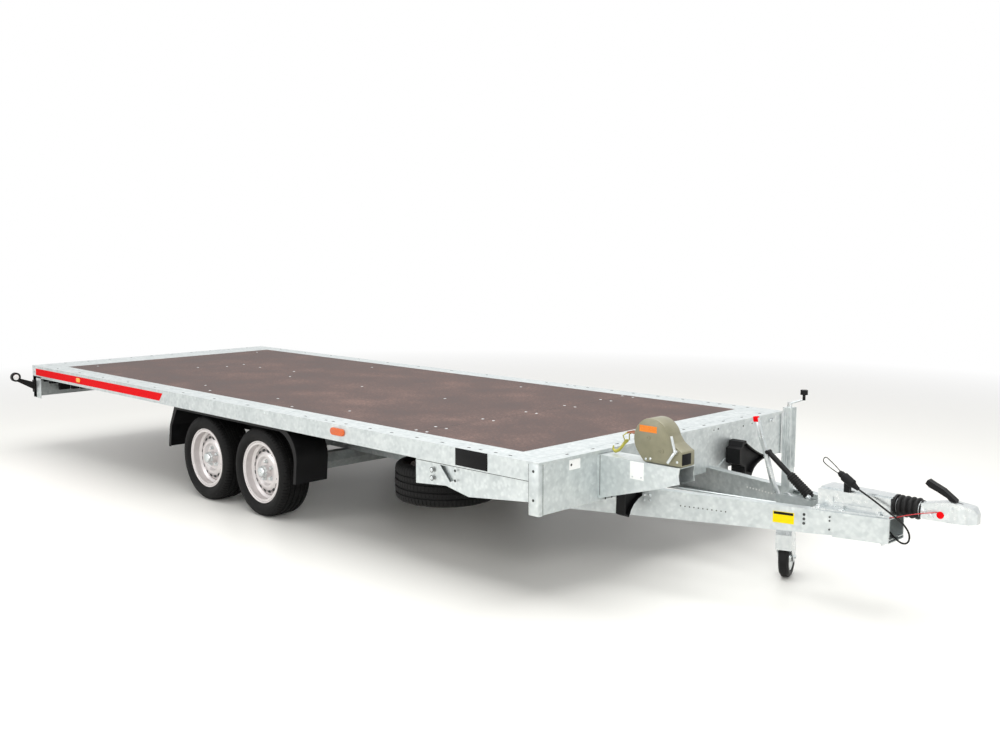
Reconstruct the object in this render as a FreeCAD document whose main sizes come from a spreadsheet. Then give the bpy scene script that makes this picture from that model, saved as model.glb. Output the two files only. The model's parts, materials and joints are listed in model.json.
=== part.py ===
import FreeCAD, Part
import math
import os
import re

import Sketcher

# Car hauler trailer: flat platform over two close-set axles, V drawbar with an overrun coupling,
# jockey wheel, hand winch and two wheel chocks on the front panel.
# Millimetres. X runs forward to the coupling, Y to the left and Z up from the ground.
# The origin is on the ground, midway between the platform's rear and the coupling's nose.

SIZES = {
    # platform: folded frame and plywood deck
    "deck_length": 5215,
    "deck_width": 2038,
    "deck_height": 650,
    "deck_thick": 18,
    "deck_gap": 0.3,
    "seam_setback": 970,
    "sheet": 3,
    "rail_height": 90,
    "rail_flange": 95,
    "rail_foot": 40,
    "ledge_width": 25,
    "panel_height": 238,
    "panel_lip": 14,
    "post_sheet": 5,
    "post_side": 58,
    "post_front": 30,
    "cross_pitch": 765,
    "cross_width": 45,
    "nose_member_setback": 480,
    # side skirts below the front of the rails
    "skirt_inset": 10,
    "skirt_rear": 819,
    "skirt_rise": 606,
    "skirt_drop": 450,
    "skirt_rear_low": 434,
    "skirt_mid_low": 453,
    "skirt_low": 424,
    "skirt_front_low": 466,
    "window_rear": 646,
    "window_front": 546,
    "window_top": 548,
    "window_low": 474,
    # V drawbar
    "coupling_reach": 1495,
    "beam_top": 435,
    "beam_sheet": 4,
    "beam_flange": 50,
    "beam_tip": 1150,
    "beam_tip_half": 70,
    "beam_slope": 0.2298,
    "beam_half": 450,
    "beam_tail": 3380,
    "beam_tip_low": 340,
    "beam_deep": 282,
    "beam_deep_setback": 330,
    "beam_rise_setback": 1000,
    "bracket_width": 80,
    "head_length": 230,
    "head_sheet": 4,
    # axles and wheels
    "axle_setback": 2250,
    "axle_spacing": 593,
    "axle_lead": 150,
    "axle_height": 305,
    "axle_flats": 95,
    "axle_half": 700,
    "arm_thick": 35,
    "arm_radius": 42,
    "stub_radius": 20,
    "stub_gap": 0.3,
    "backplate_radius": 112,
    "backplate_thick": 5,
    "wheel_inset": 60,
    "tyre_diameter": 525,
    "tyre_width": 195,
    "tyre_shoulder": 14,
    "rim_width": 160,
    "rim_lip_radius": 182.5,
    "rim_sheet": 4,
    "bead_radius": 165,
    "well_radius": 150,
    "disc_offset": 26,
    "disc_raise": 16,
    "disc_raise_radius": 98,
    "vent_radius": 123,
    "vent_size": 16,
    "vent_count": 16,
    "hub_radius": 34,
    "hub_length": 34,
    "drum_radius": 108,
    "drum_length": 72,
    # mudguards
    "guard_sheet": 4,
    "guard_inner": 770,
    "guard_outer": 985,
    "guard_front": 398,
    "guard_front_low": 252,
    "guard_rear": 411,
    "guard_rear_low": 286,
    "guard_lip": 24,
    "guard_wall_low": 440,
    # spare wheel below the platform
    "spare_setback": 905,
    "spare_side": 728,
    "spare_low": 300,
    # overrun device and coupling
    "coupling_height": 486,
    "tube_radius": 22,
    "housing_rear": 820,
    "housing_front": 1145,
    "housing_rear_half": 80,
    "housing_front_half": 56,
    "housing_height": 85,
    "housing_flange": 20,
    "bellows_radius": 47,
    "bellows_root": 39,
    "bellows_length": 121,
    "bellows_folds": 4,
    "sleeve_radius": 33,
    "sleeve_length": 70,
    "ball_radius": 25,
    "dome_radius": 36,
    "handle_width": 34,
    # handbrake
    "lever_width": 16,
    "lever_depth": 22,
    "lever_foot": 617,
    "lever_foot_height": 403,
    "lever_bend": 491,
    "lever_bend_height": 564,
    "lever_tip": 435,
    "lever_tip_height": 785,
    "strut_rod_radius": 10,
    "strut_boot_radius": 25,
    "strut_top": 515,
    "strut_top_height": 632,
    "strut_mid": 633,
    "strut_mid_height": 533,
    "strut_end": 745,
    "strut_end_height": 450,
    # jockey wheel
    "jockey_reach": 552,
    "jockey_side": 120,
    "jockey_top": 831,
    "jockey_cover": 46,
    "jockey_cover_low": 545,
    "jockey_outer": 42,
    "jockey_bottom": 300,
    "jockey_inner_radius": 17,
    "jockey_gap": 0.5,
    "jockey_wheel_radius": 100,
    "jockey_wheel_width": 56,
    "jockey_trail": 50,
    "jockey_swivel": -71,
    "fork_sheet": 5,
    "fork_top": 245,
    "crank_reach": 72,
    "crank_height": 26,
    "knob_height": 48,
    # winch stand and winch
    "stand_side": 553,
    "stand_width": 115,
    "stand_reach": 450,
    "stand_top": 632,
    "stand_low": 425,
    "stand_end_low": 560,
    "winch_reach": 246,
    "winch_height": 732,
    "winch_radius": 90,
    "winch_depth": 96,
    "winch_foot_rear": 170,
    "winch_foot_front": 414,
    "winch_foot_height": 87,
    "winch_sheet": 4,
    # wheel chocks
    "chock_side": 470,
    "chock_width": 92,
    "chock_length": 205,
    "chock_heel": 132,
    "chock_toe": 22,
    "chock_top": 560,
    "chock_plate": 3,
    # lamps
    "marker_setback": 1425,
    "marker_length": 82,
    "marker_height": 40,
    "marker_depth": 14,
    "lamp_width": 240,
    "lamp_height": 100,
    "lamp_depth": 36,
    "lamp_side": 780,
    "arm_reach": 170,
    "arm_rise": 142,
    "arm_lamp_radius": 34,
    # cables and brake rod
    "plug_radius": 20,
    "cable_radius": 4,
    "wire_radius": 2,
    "rod_radius": 6,
}

FRONT = "((deck_length - coupling_reach) / 2)"
REAR = "((0 - deck_length - coupling_reach) / 2)"
SIDE = "(deck_width / 2)"
DECK_UNDER = "(deck_height - deck_thick)"
RAIL_LOW = "(deck_height - rail_height)"
PANEL_LOW = "(deck_height - panel_height)"
LEDGE_EDGE = "(deck_width / 2 - rail_flange - ledge_width)"
WHEEL_X = "((deck_length - coupling_reach) / 2 - axle_setback)"
WHEEL_Y = "(deck_width / 2 - wheel_inset - rim_width / 2)"
WHEEL_Z = "(tyre_diameter / 2)"

document = FreeCAD.newDocument("Trailer")
sheet = document.addObject("Spreadsheet::Sheet", "Sizes")
for row, (alias, value) in enumerate(SIZES.items(), 1):
    sheet.set(f"A{row}", alias)
    sheet.set(f"B{row}", str(value))
    sheet.setAlias(f"B{row}", alias)
document.recompute()

NODES = []


def linked(text):
    """An expression's text with each size's name pointing into the sheet."""
    def sheet_name(word):
        return "Sizes." + word.group() if word.group() in SIZES else word.group()
    return re.sub(r"[a-z]\w*", sheet_name, str(text))


def number(text):
    return float(sheet.evalExpression(str(text)))


def bind(thing, **properties):
    for name, text in properties.items():
        thing.setExpression(name, linked(text))


def place(thing, x="0", y="0", z="0"):
    for axis, text in (("x", x), ("y", y), ("z", z)):
        thing.setExpression("Placement.Base." + axis, linked(text))
    return thing


def turn(thing, *steps):
    """Rotate a piece about its own origin, by (axis, degrees) steps, the first one applied first."""
    axes = {"x": FreeCAD.Vector(1, 0, 0), "y": FreeCAD.Vector(0, 1, 0), "z": FreeCAD.Vector(0, 0, 1)}
    rotation = FreeCAD.Rotation()
    for axis, degrees in steps:
        rotation = FreeCAD.Rotation(axes[axis], degrees).multiply(rotation)
    thing.Placement = FreeCAD.Placement(thing.Placement.Base, rotation)
    return thing


def keep(label, thing):
    """Name a finished sub-part; its label names its file."""
    thing.Label = label
    NODES.append(thing)
    return thing


def sketch_on(body, plane, corners, holes=()):
    """A closed outline whose corners are bound to the sheet.

    A corner is (x, y), reached by a straight edge, or (x, y, radius, turn), reached by an arc
    that runs counter-clockwise for turn 1 and clockwise for turn -1. A hole is (x, y, radius).
    """
    sketch = body.newObject("Sketcher::SketchObject", "Outline")
    support = [feature for feature in body.Origin.OriginFeatures if feature.Role == plane][0]
    sketch.AttachmentSupport = [(support, "")]
    sketch.MapMode = "FlatFace"
    spots = [FreeCAD.Vector(number(corner[0]), number(corner[1]), 0) for corner in corners]
    ends = []
    for index, corner in enumerate(corners):
        start, end = spots[index - 1], spots[index]
        if len(corner) == 2:
            sketch.addGeometry(Part.LineSegment(start, end), False)
            ends.append((1, 2))
            continue
        radius, side = number(corner[2]), corner[3]
        chord = end - start
        across = FreeCAD.Vector(-chord.y, chord.x, 0).normalize()
        reach = math.sqrt(max(radius ** 2 - chord.Length ** 2 / 4, 0))
        centre = (start + end) * 0.5 + across * reach * side
        first, last = (start, end) if side > 0 else (end, start)
        angles = [math.atan2(spot.y - centre.y, spot.x - centre.x) for spot in (first, last)]
        if angles[1] < angles[0]:
            angles[1] += 2 * math.pi
        circle = Part.Circle(centre, FreeCAD.Vector(0, 0, 1), radius)
        sketch.addGeometry(Part.ArcOfCircle(circle, angles[0], angles[1]), False)
        ends.append((1, 2) if side > 0 else (2, 1))
    for index, corner in enumerate(corners):
        following = (index + 1) % len(corners)
        sketch.addConstraint(Sketcher.Constraint(
            "Coincident", index, ends[index][1], following, ends[following][0]))
        for kind, value, text in (("DistanceX", spots[index].x, corner[0]),
                                  ("DistanceY", spots[index].y, corner[1])):
            mark = sketch.addConstraint(Sketcher.Constraint(kind, -1, 1, index, ends[index][1], value))
            sketch.setExpression(f"Constraints[{mark}]", linked(text))
        if len(corner) > 2:
            mark = sketch.addConstraint(Sketcher.Constraint("Radius", index, number(corner[2])))
            sketch.setExpression(f"Constraints[{mark}]", linked(corner[2]))
    for x, y, radius in holes:
        centre = FreeCAD.Vector(number(x), number(y), 0)
        circle = sketch.addGeometry(Part.Circle(centre, FreeCAD.Vector(0, 0, 1), number(radius)), False)
        for kind, value, text in (("DistanceX", centre.x, x), ("DistanceY", centre.y, y)):
            mark = sketch.addConstraint(Sketcher.Constraint(kind, -1, 1, circle, 3, value))
            sketch.setExpression(f"Constraints[{mark}]", linked(text))
        mark = sketch.addConstraint(Sketcher.Constraint("Radius", circle, number(radius)))
        sketch.setExpression(f"Constraints[{mark}]", linked(radius))
    return sketch


def slab(plane, corners, thickness, middle="0", holes=()):
    """An outline padded to both sides of a plane: XY, XZ or YZ, moved along its normal to middle."""
    body = document.addObject("PartDesign::Body", "Slab")
    pad = body.newObject("PartDesign::Pad", "Thickness")
    sketch = sketch_on(body, plane + "_Plane", corners, holes)
    pad.Profile = sketch
    pad.SideType = "Symmetric"
    bind(pad, Length=thickness)
    body.Tip = pad
    normal = {"XY": "z", "XZ": "y", "YZ": "x"}[plane]
    place(body, **{normal: middle})
    return body


def turned(corners):
    """A ring or shaft turned about its own Z axis: corners are (radius, height)."""
    body = document.addObject("PartDesign::Body", "Turned")
    sketch = sketch_on(body, "XZ_Plane", corners)
    revolution = body.newObject("PartDesign::Revolution", "Turn")
    revolution.Profile = sketch
    revolution.ReferenceAxis = (sketch, ["V_Axis"])
    revolution.Angle = 360
    body.Tip = revolution
    return body


def box(length, width, height, x, y, z):
    piece = document.addObject("Part::Box", "Block")
    bind(piece, Length=length, Width=width, Height=height)
    return place(piece, x, y, z)


def cylinder(radius, height, x, y, z, along="z"):
    piece = document.addObject("Part::Cylinder", "Round")
    bind(piece, Radius=radius, Height=height)
    if along == "x":
        turn(piece, ("y", 90))
    if along == "y":
        turn(piece, ("x", -90))
    return place(piece, x, y, z)


def rod(radius, start, end):
    """A round bar from start to end, each a triple of expressions."""
    gaps = [f"(({high}) - ({low}))" for low, high in zip(start, end)]
    piece = document.addObject("Part::Cylinder", "Bar")
    bind(piece, Radius=radius, Height="sqrt(" + " + ".join(f"{gap} * {gap}" for gap in gaps) + ")")
    direction = FreeCAD.Vector(*[number(gap) for gap in gaps])
    rotation = FreeCAD.Rotation(FreeCAD.Vector(0, 0, 1), direction)
    piece.Placement = FreeCAD.Placement(FreeCAD.Vector(), rotation)
    return place(piece, *start)


def fuse(*pieces):
    piece = document.addObject("Part::MultiFuse", "Joined")
    piece.Shapes = list(pieces)
    return piece


def common(*pieces):
    piece = document.addObject("Part::MultiCommon", "Shared")
    piece.Shapes = list(pieces)
    return piece


def cut(base, *tools):
    piece = document.addObject("Part::Cut", "Cut")
    piece.Base = base
    piece.Tool = tools[0] if len(tools) == 1 else fuse(*tools)
    return piece


def group(*pieces):
    piece = document.addObject("Part::Compound", "Set")
    piece.Links = list(pieces)
    return piece


def mirrored(piece):
    """The same piece on the other side of the trailer's middle plane."""
    twin = document.addObject("Part::Mirroring", "Mirrored")
    twin.Source = piece
    twin.Base = FreeCAD.Vector(0, 0, 0)
    twin.Normal = FreeCAD.Vector(0, 1, 0)
    return twin


def ahead(distance):
    """A place that far ahead of the platform's front."""
    return f"({FRONT} + ({distance}))"


def behind(distance):
    return f"({FRONT} - ({distance}))"


def deck_panels():
    """Two plywood sheets that meet at a seam over a cross member."""
    edge = f"({SIDE} - rail_flange - deck_gap)"
    spans = {
        "deck_panel_front": (behind("seam_setback"), f"({FRONT} - rail_flange - deck_gap)"),
        "deck_panel_rear": (f"({REAR} + rail_flange + deck_gap)", behind("seam_setback + deck_gap")),
    }
    for label, (back, front) in spans.items():
        corners = [(back, f"0 - {edge}"), (front, f"0 - {edge}"), (front, edge), (back, edge)]
        keep(label, slab("XY", corners, "deck_thick", "deck_height - deck_thick / 2"))


def rail_section(outer, inward, web="sheet"):
    """Top flange, step down to the ledge under the deck, outer web and foot flange."""
    def across(distance):
        return f"({outer} + {inward} * ({distance}))"
    return [
        (across("0"), "deck_height"),
        (across("0"), RAIL_LOW),
        (across("rail_foot"), RAIL_LOW),
        (across("rail_foot"), f"{RAIL_LOW} + sheet"),
        (across(web), f"{RAIL_LOW} + sheet"),
        (across(web), "deck_height - sheet"),
        (across("rail_flange - sheet"), "deck_height - sheet"),
        (across("rail_flange - sheet"), f"{DECK_UNDER} - sheet"),
        (across("rail_flange + ledge_width"), f"{DECK_UNDER} - sheet"),
        (across("rail_flange + ledge_width"), DECK_UNDER),
        (across("rail_flange"), DECK_UNDER),
        (across("rail_flange"), "deck_height"),
    ]


def side_rails():
    """Folded side rails; their webs run on under the end rails to the corner posts."""
    length = "deck_length - rail_flange * 2"
    for label, outer, inward in (("side_rail_left", SIDE, "-1"), ("side_rail_right", f"(0 - {SIDE})", "1")):
        rail = slab("YZ", rail_section(outer, inward), length, f"({FRONT} + {REAR}) / 2")
        webs = []
        for start in (f"{FRONT} - rail_flange", f"{REAR} + post_side"):
            corner = f"{outer} - sheet" if inward == "-1" else outer
            webs.append(box("rail_flange - post_side", "sheet", "rail_height - sheet", start, corner, RAIL_LOW))
        keep(label, fuse(rail, *webs))


def end_section(edge, inward):
    """Top flange with a short lip, the deep panel behind it and the ledge under the deck."""
    def along(distance):
        return f"({edge} + {inward} * ({distance}))"
    return [
        (along("0"), "deck_height"),
        (along("0"), "deck_height - panel_lip"),
        (along("sheet"), "deck_height - panel_lip"),
        (along("sheet"), "deck_height - sheet"),
        (along("post_sheet"), "deck_height - sheet"),
        (along("post_sheet"), PANEL_LOW),
        (along("post_sheet + sheet"), PANEL_LOW),
        (along("post_sheet + sheet"), "deck_height - sheet"),
        (along("rail_flange - sheet"), "deck_height - sheet"),
        (along("rail_flange - sheet"), f"{DECK_UNDER} - sheet"),
        (along("rail_flange + ledge_width"), f"{DECK_UNDER} - sheet"),
        (along("rail_flange + ledge_width"), DECK_UNDER),
        (along("rail_flange"), DECK_UNDER),
        (along("rail_flange"), "deck_height"),
    ]


def end_rails():
    """Front and rear rails with their panels between the corner posts."""
    for label, edge, inward in (("front_rail", FRONT, "-1"), ("rear_rail", REAR, "1")):
        rail = slab("XZ", end_section(edge, inward), "deck_width")
        low = f"{FRONT} - rail_flange - ledge_width" if inward == "-1" else f"{REAR}"
        reach = "rail_flange + ledge_width"
        below = "deck_height - sheet"
        sides = []
        for side in ("-1", "1"):
            post_start = f"{side} * {SIDE}" if side == "-1" else f"{SIDE} - post_sheet"
            sides.append(box(reach, "post_sheet", below, low, post_start, "0"))
            ledge_start = f"0 - {SIDE}" if side == "-1" else LEDGE_EDGE
            ledge_x = low if inward == "-1" else f"{REAR} + post_sheet + sheet"
            sides.append(box("rail_flange + ledge_width - post_sheet - sheet", "rail_flange + ledge_width",
                             below, ledge_x, ledge_start, "0"))
            leg_x = f"{FRONT} - post_sheet" if inward == "-1" else REAR
            leg_y = f"0 - {SIDE}" if side == "-1" else f"{SIDE} - post_front"
            sides.append(box("post_sheet", "post_front", below, leg_x, leg_y, "0"))
            if inward == "1":
                lamp_y = f"{side} * lamp_side - lamp_width / 2 - deck_gap"
                sides.append(box("post_sheet * 4", "lamp_width + deck_gap * 2", "lamp_height + deck_gap * 2", REAR, lamp_y,
                                 "deck_height - panel_lip - 36 - lamp_height - deck_gap"))
            if inward == "-1":
                outer = "beam_tip_half + beam_slope * beam_tip"
                notch = f"{outer} - beam_flange - panel_lip" if side == "1" else f"0 - ({outer}) - panel_lip"
                sides.append(box("post_sheet * 4", "beam_flange + panel_lip * 2", "beam_top",
                                 f"{FRONT} - post_sheet * 3", notch, "0"))
        keep(label, cut(rail, *sides))


def corner_posts():
    """Folded angle posts at the platform's four corners, and at the rear end of each skirt."""
    posts = []
    for edge, inward in ((FRONT, "-1"), (REAR, "1")):
        for side in ("-1", "1"):
            def spot(along, across):
                return (f"{edge} + {inward} * ({along})", f"{side} * ({SIDE} - ({across}))")
            corners = [spot("0", "0"), spot("post_side", "0"), spot("post_side", "post_sheet"),
                       spot("post_sheet", "post_sheet"), spot("post_sheet", "post_front"), spot("0", "post_front")]
            height = "panel_height - sheet"
            posts.append(slab("XY", corners, height, f"{PANEL_LOW} + ({height}) / 2"))
    keep("corner_posts", group(*posts))


def side_skirts():
    """Bolted panels under the rails ahead of the wheels, with a window and an angle at the rear end."""
    panels = []
    window = [(behind("window_rear"), "window_top"), (behind("window_front"), "window_top"),
              (behind("window_front"), "window_low + 14"), (behind("(window_rear + window_front * 2) / 3"), "window_low")]
    for side in ("-1", "1"):
        middle = f"{side} * ({SIDE} - skirt_inset - sheet / 2)"
        corners = [
            (behind("skirt_rear"), RAIL_LOW),
            (behind("skirt_rear"), "skirt_rear_low"),
            (behind("skirt_rise"), "skirt_mid_low"),
            (behind("skirt_drop"), "skirt_low"),
            (behind("post_side"), "skirt_front_low"),
            (behind("post_side"), RAIL_LOW),
        ]
        plate = cut(slab("XZ", corners, "sheet", middle), slab("XZ", window, "sheet * 3", middle))
        across = f"{side} * ({SIDE} - skirt_inset - sheet)"
        inner = f"{side} * ({SIDE} - skirt_inset - post_front * 0.8)"
        flange = [(behind("skirt_rear"), across), (behind("skirt_rear - sheet"), across),
                  (behind("skirt_rear - sheet"), inner), (behind("skirt_rear"), inner)]
        height = f"{RAIL_LOW} - skirt_rear_low"
        panels.append(fuse(plate, slab("XY", flange, height, f"({RAIL_LOW} + skirt_rear_low) / 2")))
    keep("side_skirts", group(*panels))


def member_places():
    """Distances of the cross members' middles behind the platform's front."""
    return ["nose_member_setback"] + [f"(seam_setback + cross_pitch * {step})" for step in range(6)]


def cross_members():
    """Folded channels across the frame, standing on the rails' foot flanges and holding the deck."""
    channels = []
    half = f"({SIDE} - sheet)"
    top_half = f"({LEDGE_EDGE} - deck_gap)"
    low = f"({RAIL_LOW} + sheet)"
    for setback in member_places():
        back, front = behind(f"{setback} + cross_width / 2"), behind(f"{setback} - cross_width / 2")
        channel = [
            (back, low), (front, low), (front, f"{low} + sheet"), (f"{back} + sheet", f"{low} + sheet"),
            (f"{back} + sheet", f"{DECK_UNDER} - sheet"), (front, f"{DECK_UNDER} - sheet"),
            (front, DECK_UNDER), (back, DECK_UNDER),
        ]
        section = slab("XZ", channel, f"{half} * 2")
        outline = [
            (f"0 - {half}", low), (half, low), (half, f"{DECK_UNDER} - sheet"),
            (top_half, f"{DECK_UNDER} - sheet"), (top_half, DECK_UNDER), (f"0 - {top_half}", DECK_UNDER),
            (f"0 - {top_half}", f"{DECK_UNDER} - sheet"), (f"0 - {half}", f"{DECK_UNDER} - sheet"),
        ]
        face = slab("YZ", outline, "cross_width * 2", behind(setback))
        channels.append(common(section, face))
    keep("cross_members", group(*channels))


def beam_plan(side, inset, depth):
    """Plan outline of a drawbar beam, from its rear end to its tip, inset from its outer face."""
    tip_x, tail_x = ahead("beam_tip"), behind("beam_tail")
    bend_x = f"({ahead('beam_tip')} - (beam_half - beam_tip_half) / beam_slope)"
    outer = [(tail_x, f"(beam_half - ({inset}))"), (bend_x, f"(beam_half - ({inset}))"),
             (tip_x, f"(beam_tip_half - ({inset}))")]
    inner = [(tip_x, f"(beam_tip_half - ({depth}))"), (bend_x, f"(beam_half - ({depth}))"),
             (tail_x, f"(beam_half - ({depth}))")]
    return [(x, f"{side} * {y}") for x, y in outer + inner]


def beam_side(inset):
    """Side outline of a beam: level top, belly under the platform's front, shallow at the axles."""
    axle_top = "axle_height + axle_flats / 2"
    return [
        (behind("beam_tail"), f"beam_top - {inset}"),
        (behind("beam_tail"), f"{axle_top} + {inset}"),
        (behind("beam_rise_setback"), f"{axle_top} + {inset}"),
        (behind("beam_deep_setback"), f"beam_deep + {inset}"),
        (ahead("beam_tip"), f"beam_tip_low + {inset}"),
        (ahead("beam_tip"), f"beam_top - {inset}"),
    ]


def drawbar_beams():
    """Pressed channels, web outside and flanges inside, that converge on the coupling."""
    for label, side in (("drawbar_beam_left", "1"), ("drawbar_beam_right", "-1")):
        outside = common(slab("XY", beam_plan(side, "0", "beam_flange"), "beam_top", "beam_top / 2"),
                         slab("XZ", beam_side("0"), "deck_width"))
        inside = common(slab("XY", beam_plan(side, "beam_sheet", "beam_flange * 1.1"), "beam_top", "beam_top / 2"),
                        slab("XZ", beam_side("beam_sheet"), "deck_width"))
        keep(label, cut(outside, inside))


def beam_brackets():
    """Folded stands that carry the cross members on the drawbar beams."""
    stands = []
    low, high = "beam_top", f"({RAIL_LOW} + sheet)"
    for setback in member_places()[:5]:
        run = f"(beam_tip_half + beam_slope * (beam_tip + {setback}))"
        reach = f"min({run}; beam_half) - beam_flange / 2"
        for side in ("-1", "1"):
            near, far = f"({reach} - bracket_width / 2)", f"({reach} + bracket_width / 2)"
            def spot(along, across):
                return (f"{behind(setback)} + {along}", f"{side} * {across}")
            corners = [spot("0 - cross_width / 2", near), spot("cross_width / 2", near),
                       spot("cross_width / 2", f"({near} + beam_sheet)"),
                       spot("beam_sheet - cross_width / 2", f"({near} + beam_sheet)"),
                       spot("beam_sheet - cross_width / 2", f"({far} - beam_sheet)"),
                       spot("cross_width / 2", f"({far} - beam_sheet)"), spot("cross_width / 2", far),
                       spot("0 - cross_width / 2", far)]
            stands.append(slab("XY", corners, f"{high} - {low}", f"({high} + {low}) / 2"))
    keep("beam_brackets", group(*stands))


def drawbar_head():
    """Folded cradle that wraps the beams' front ends and carries the overrun housing."""
    back, front = ahead("beam_tip - head_length"), ahead("beam_tip")
    def plan(gap):
        half_front = f"(beam_tip_half + {gap})"
        half_back = f"(beam_tip_half + beam_slope * head_length + {gap})"
        return [(back, f"0 - {half_back}"), (front, f"0 - {half_front}"), (front, half_front), (back, half_back)]
    low = "(beam_tip_low - 10 - head_sheet)"
    outside = slab("XY", plan("head_sheet"), f"beam_top - {low}", f"(beam_top + {low}) / 2")
    inside = slab("XY", plan("0"), f"beam_top - {low}", f"(beam_top + {low}) / 2 + head_sheet")
    keep("drawbar_head", cut(outside, inside))


def axles():
    """Hexagonal axle tubes with trailing arms, stub shafts and brake backplates."""
    for label, step in (("axle_front", "0"), ("axle_rear", "axle_spacing")):
        wheel_x = f"({WHEEL_X} - {step})"
        tube_x = f"({wheel_x} + axle_lead)"
        half = "axle_flats / 2"
        corner = "axle_flats / 2 / 0.8660254"
        hexagon = [
            (f"{tube_x} + {corner} / 2", f"axle_height + {half}"), (f"{tube_x} - {corner} / 2", f"axle_height + {half}"),
            (f"{tube_x} - {corner}", "axle_height"), (f"{tube_x} - {corner} / 2", f"axle_height - {half}"),
            (f"{tube_x} + {corner} / 2", f"axle_height - {half}"), (f"{tube_x} + {corner}", "axle_height"),
        ]
        tube = slab("XZ", hexagon, "axle_half * 2")
        pieces = [tube]
        for side in ("-1", "1"):
            inner = f"{side} * axle_half" if side == "1" else "0 - axle_half - arm_thick"
            pieces.append(cylinder("arm_radius", "arm_thick", tube_x, inner, "axle_height", "y"))
            pieces.append(cylinder("arm_radius", "arm_thick", wheel_x, inner, WHEEL_Z, "y"))
            drop = f"(axle_height - {WHEEL_Z})"
            web = [(tube_x, "axle_height + arm_radius * 0.8"), (wheel_x, f"{WHEEL_Z} + arm_radius * 0.9"),
                   (wheel_x, f"{WHEEL_Z} - arm_radius * 0.9"), (tube_x, "axle_height - arm_radius * 0.8")]
            middle = f"{side} * (axle_half + arm_thick / 2)"
            pieces.append(slab("XZ", web, "arm_thick", middle))
            stub_end = f"({WHEEL_Y} + disc_offset)"
            plate_y = f"({WHEEL_Y} - rim_width / 2 + 28)"
            start = f"{side} * axle_half" if side == "1" else f"0 - {stub_end}"
            pieces.append(cylinder("stub_radius", f"{stub_end} - axle_half", wheel_x, start, WHEEL_Z, "y"))
            flange = "axle_half" if side == "1" else f"0 - {plate_y}"
            pieces.append(cylinder("arm_radius * 0.9", f"{plate_y} - axle_half", wheel_x, flange, WHEEL_Z, "y"))
            plate = f"{plate_y} - backplate_thick" if side == "1" else f"0 - {plate_y}"
            pieces.append(cylinder("backplate_radius", "backplate_thick", wheel_x, plate, WHEEL_Z, "y"))
        keep(label, fuse(*pieces))


def tyre_section():
    """Half outlines of the tyre: bead, bulging side wall, shoulder and tread."""
    bead, wall = "(bead_radius + deck_gap)", "(rim_width / 2 - rim_sheet * 2 - 0.5)"
    lip, tread = "(rim_lip_radius + 2)", "(tyre_diameter / 2)"
    shoulder = f"({tread} - tyre_shoulder)"
    edge = "(tyre_width / 2 - 10)"
    flat = "(tyre_width / 2 - 24)"
    return [
        (bead, f"0 - {wall}"), (lip, f"0 - {wall}"), (shoulder, f"0 - {edge}", "40", 1), (tread, f"0 - {flat}"),
        (tread, flat), (shoulder, edge), (lip, wall, "40", 1), (bead, wall),
    ]


def rim_section():
    """Rolled rim: lips, bead seats and drop well, one sheet thick."""
    half = "(rim_width / 2)"
    lip_in, seat_in = "(rim_lip_radius - rim_sheet)", "(bead_radius - rim_sheet)"
    well_in = "(well_radius - rim_sheet)"
    return [
        ("rim_lip_radius", f"0 - {half}"), ("rim_lip_radius", f"rim_sheet - {half}"),
        ("rim_lip_radius - rim_sheet", f"rim_sheet * 2 - {half}"), ("bead_radius", f"rim_sheet * 2 - {half}"),
        ("bead_radius", f"32 - {half}"), ("well_radius", f"42 - {half}"), ("well_radius", f"{half} - 58"),
        ("bead_radius", f"{half} - 46"), ("bead_radius", f"{half} - rim_sheet * 2"),
        ("rim_lip_radius - rim_sheet", f"{half} - rim_sheet * 2"), ("rim_lip_radius", f"{half} - rim_sheet"),
        ("rim_lip_radius", half), (lip_in, half), (f"{lip_in} - rim_sheet", f"{half} - rim_sheet"),
        (seat_in, f"{half} - rim_sheet"), (seat_in, f"{half} - 44"), (well_in, f"{half} - 56"),
        (well_in, f"40 - {half}"), (seat_in, f"30 - {half}"), (seat_in, f"rim_sheet - {half}"),
        (f"{lip_in} - rim_sheet", f"rim_sheet - {half}"), (lip_in, f"0 - {half}"),
    ]


def disc_section():
    """Dished wheel disc, hub and brake drum behind it."""
    face = "(disc_offset + rim_sheet)"
    top = f"({face} + disc_raise)"
    return [
        ("stub_radius + stub_gap", "disc_offset - drum_length"), ("drum_radius", "disc_offset - drum_length"),
        ("drum_radius", "disc_offset - disc_raise"), ("well_radius - rim_sheet", "disc_offset - disc_raise"),
        ("well_radius - rim_sheet", "disc_offset - disc_raise + rim_sheet"), ("vent_radius + vent_size", "disc_offset"),
        ("disc_raise_radius", top), ("disc_raise_radius - 12", top), ("disc_raise_radius - 22", face),
        ("hub_radius", face), ("hub_radius", f"{face} + hub_length"), ("stub_radius + stub_gap", f"{face} + hub_length"),
    ]


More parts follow.
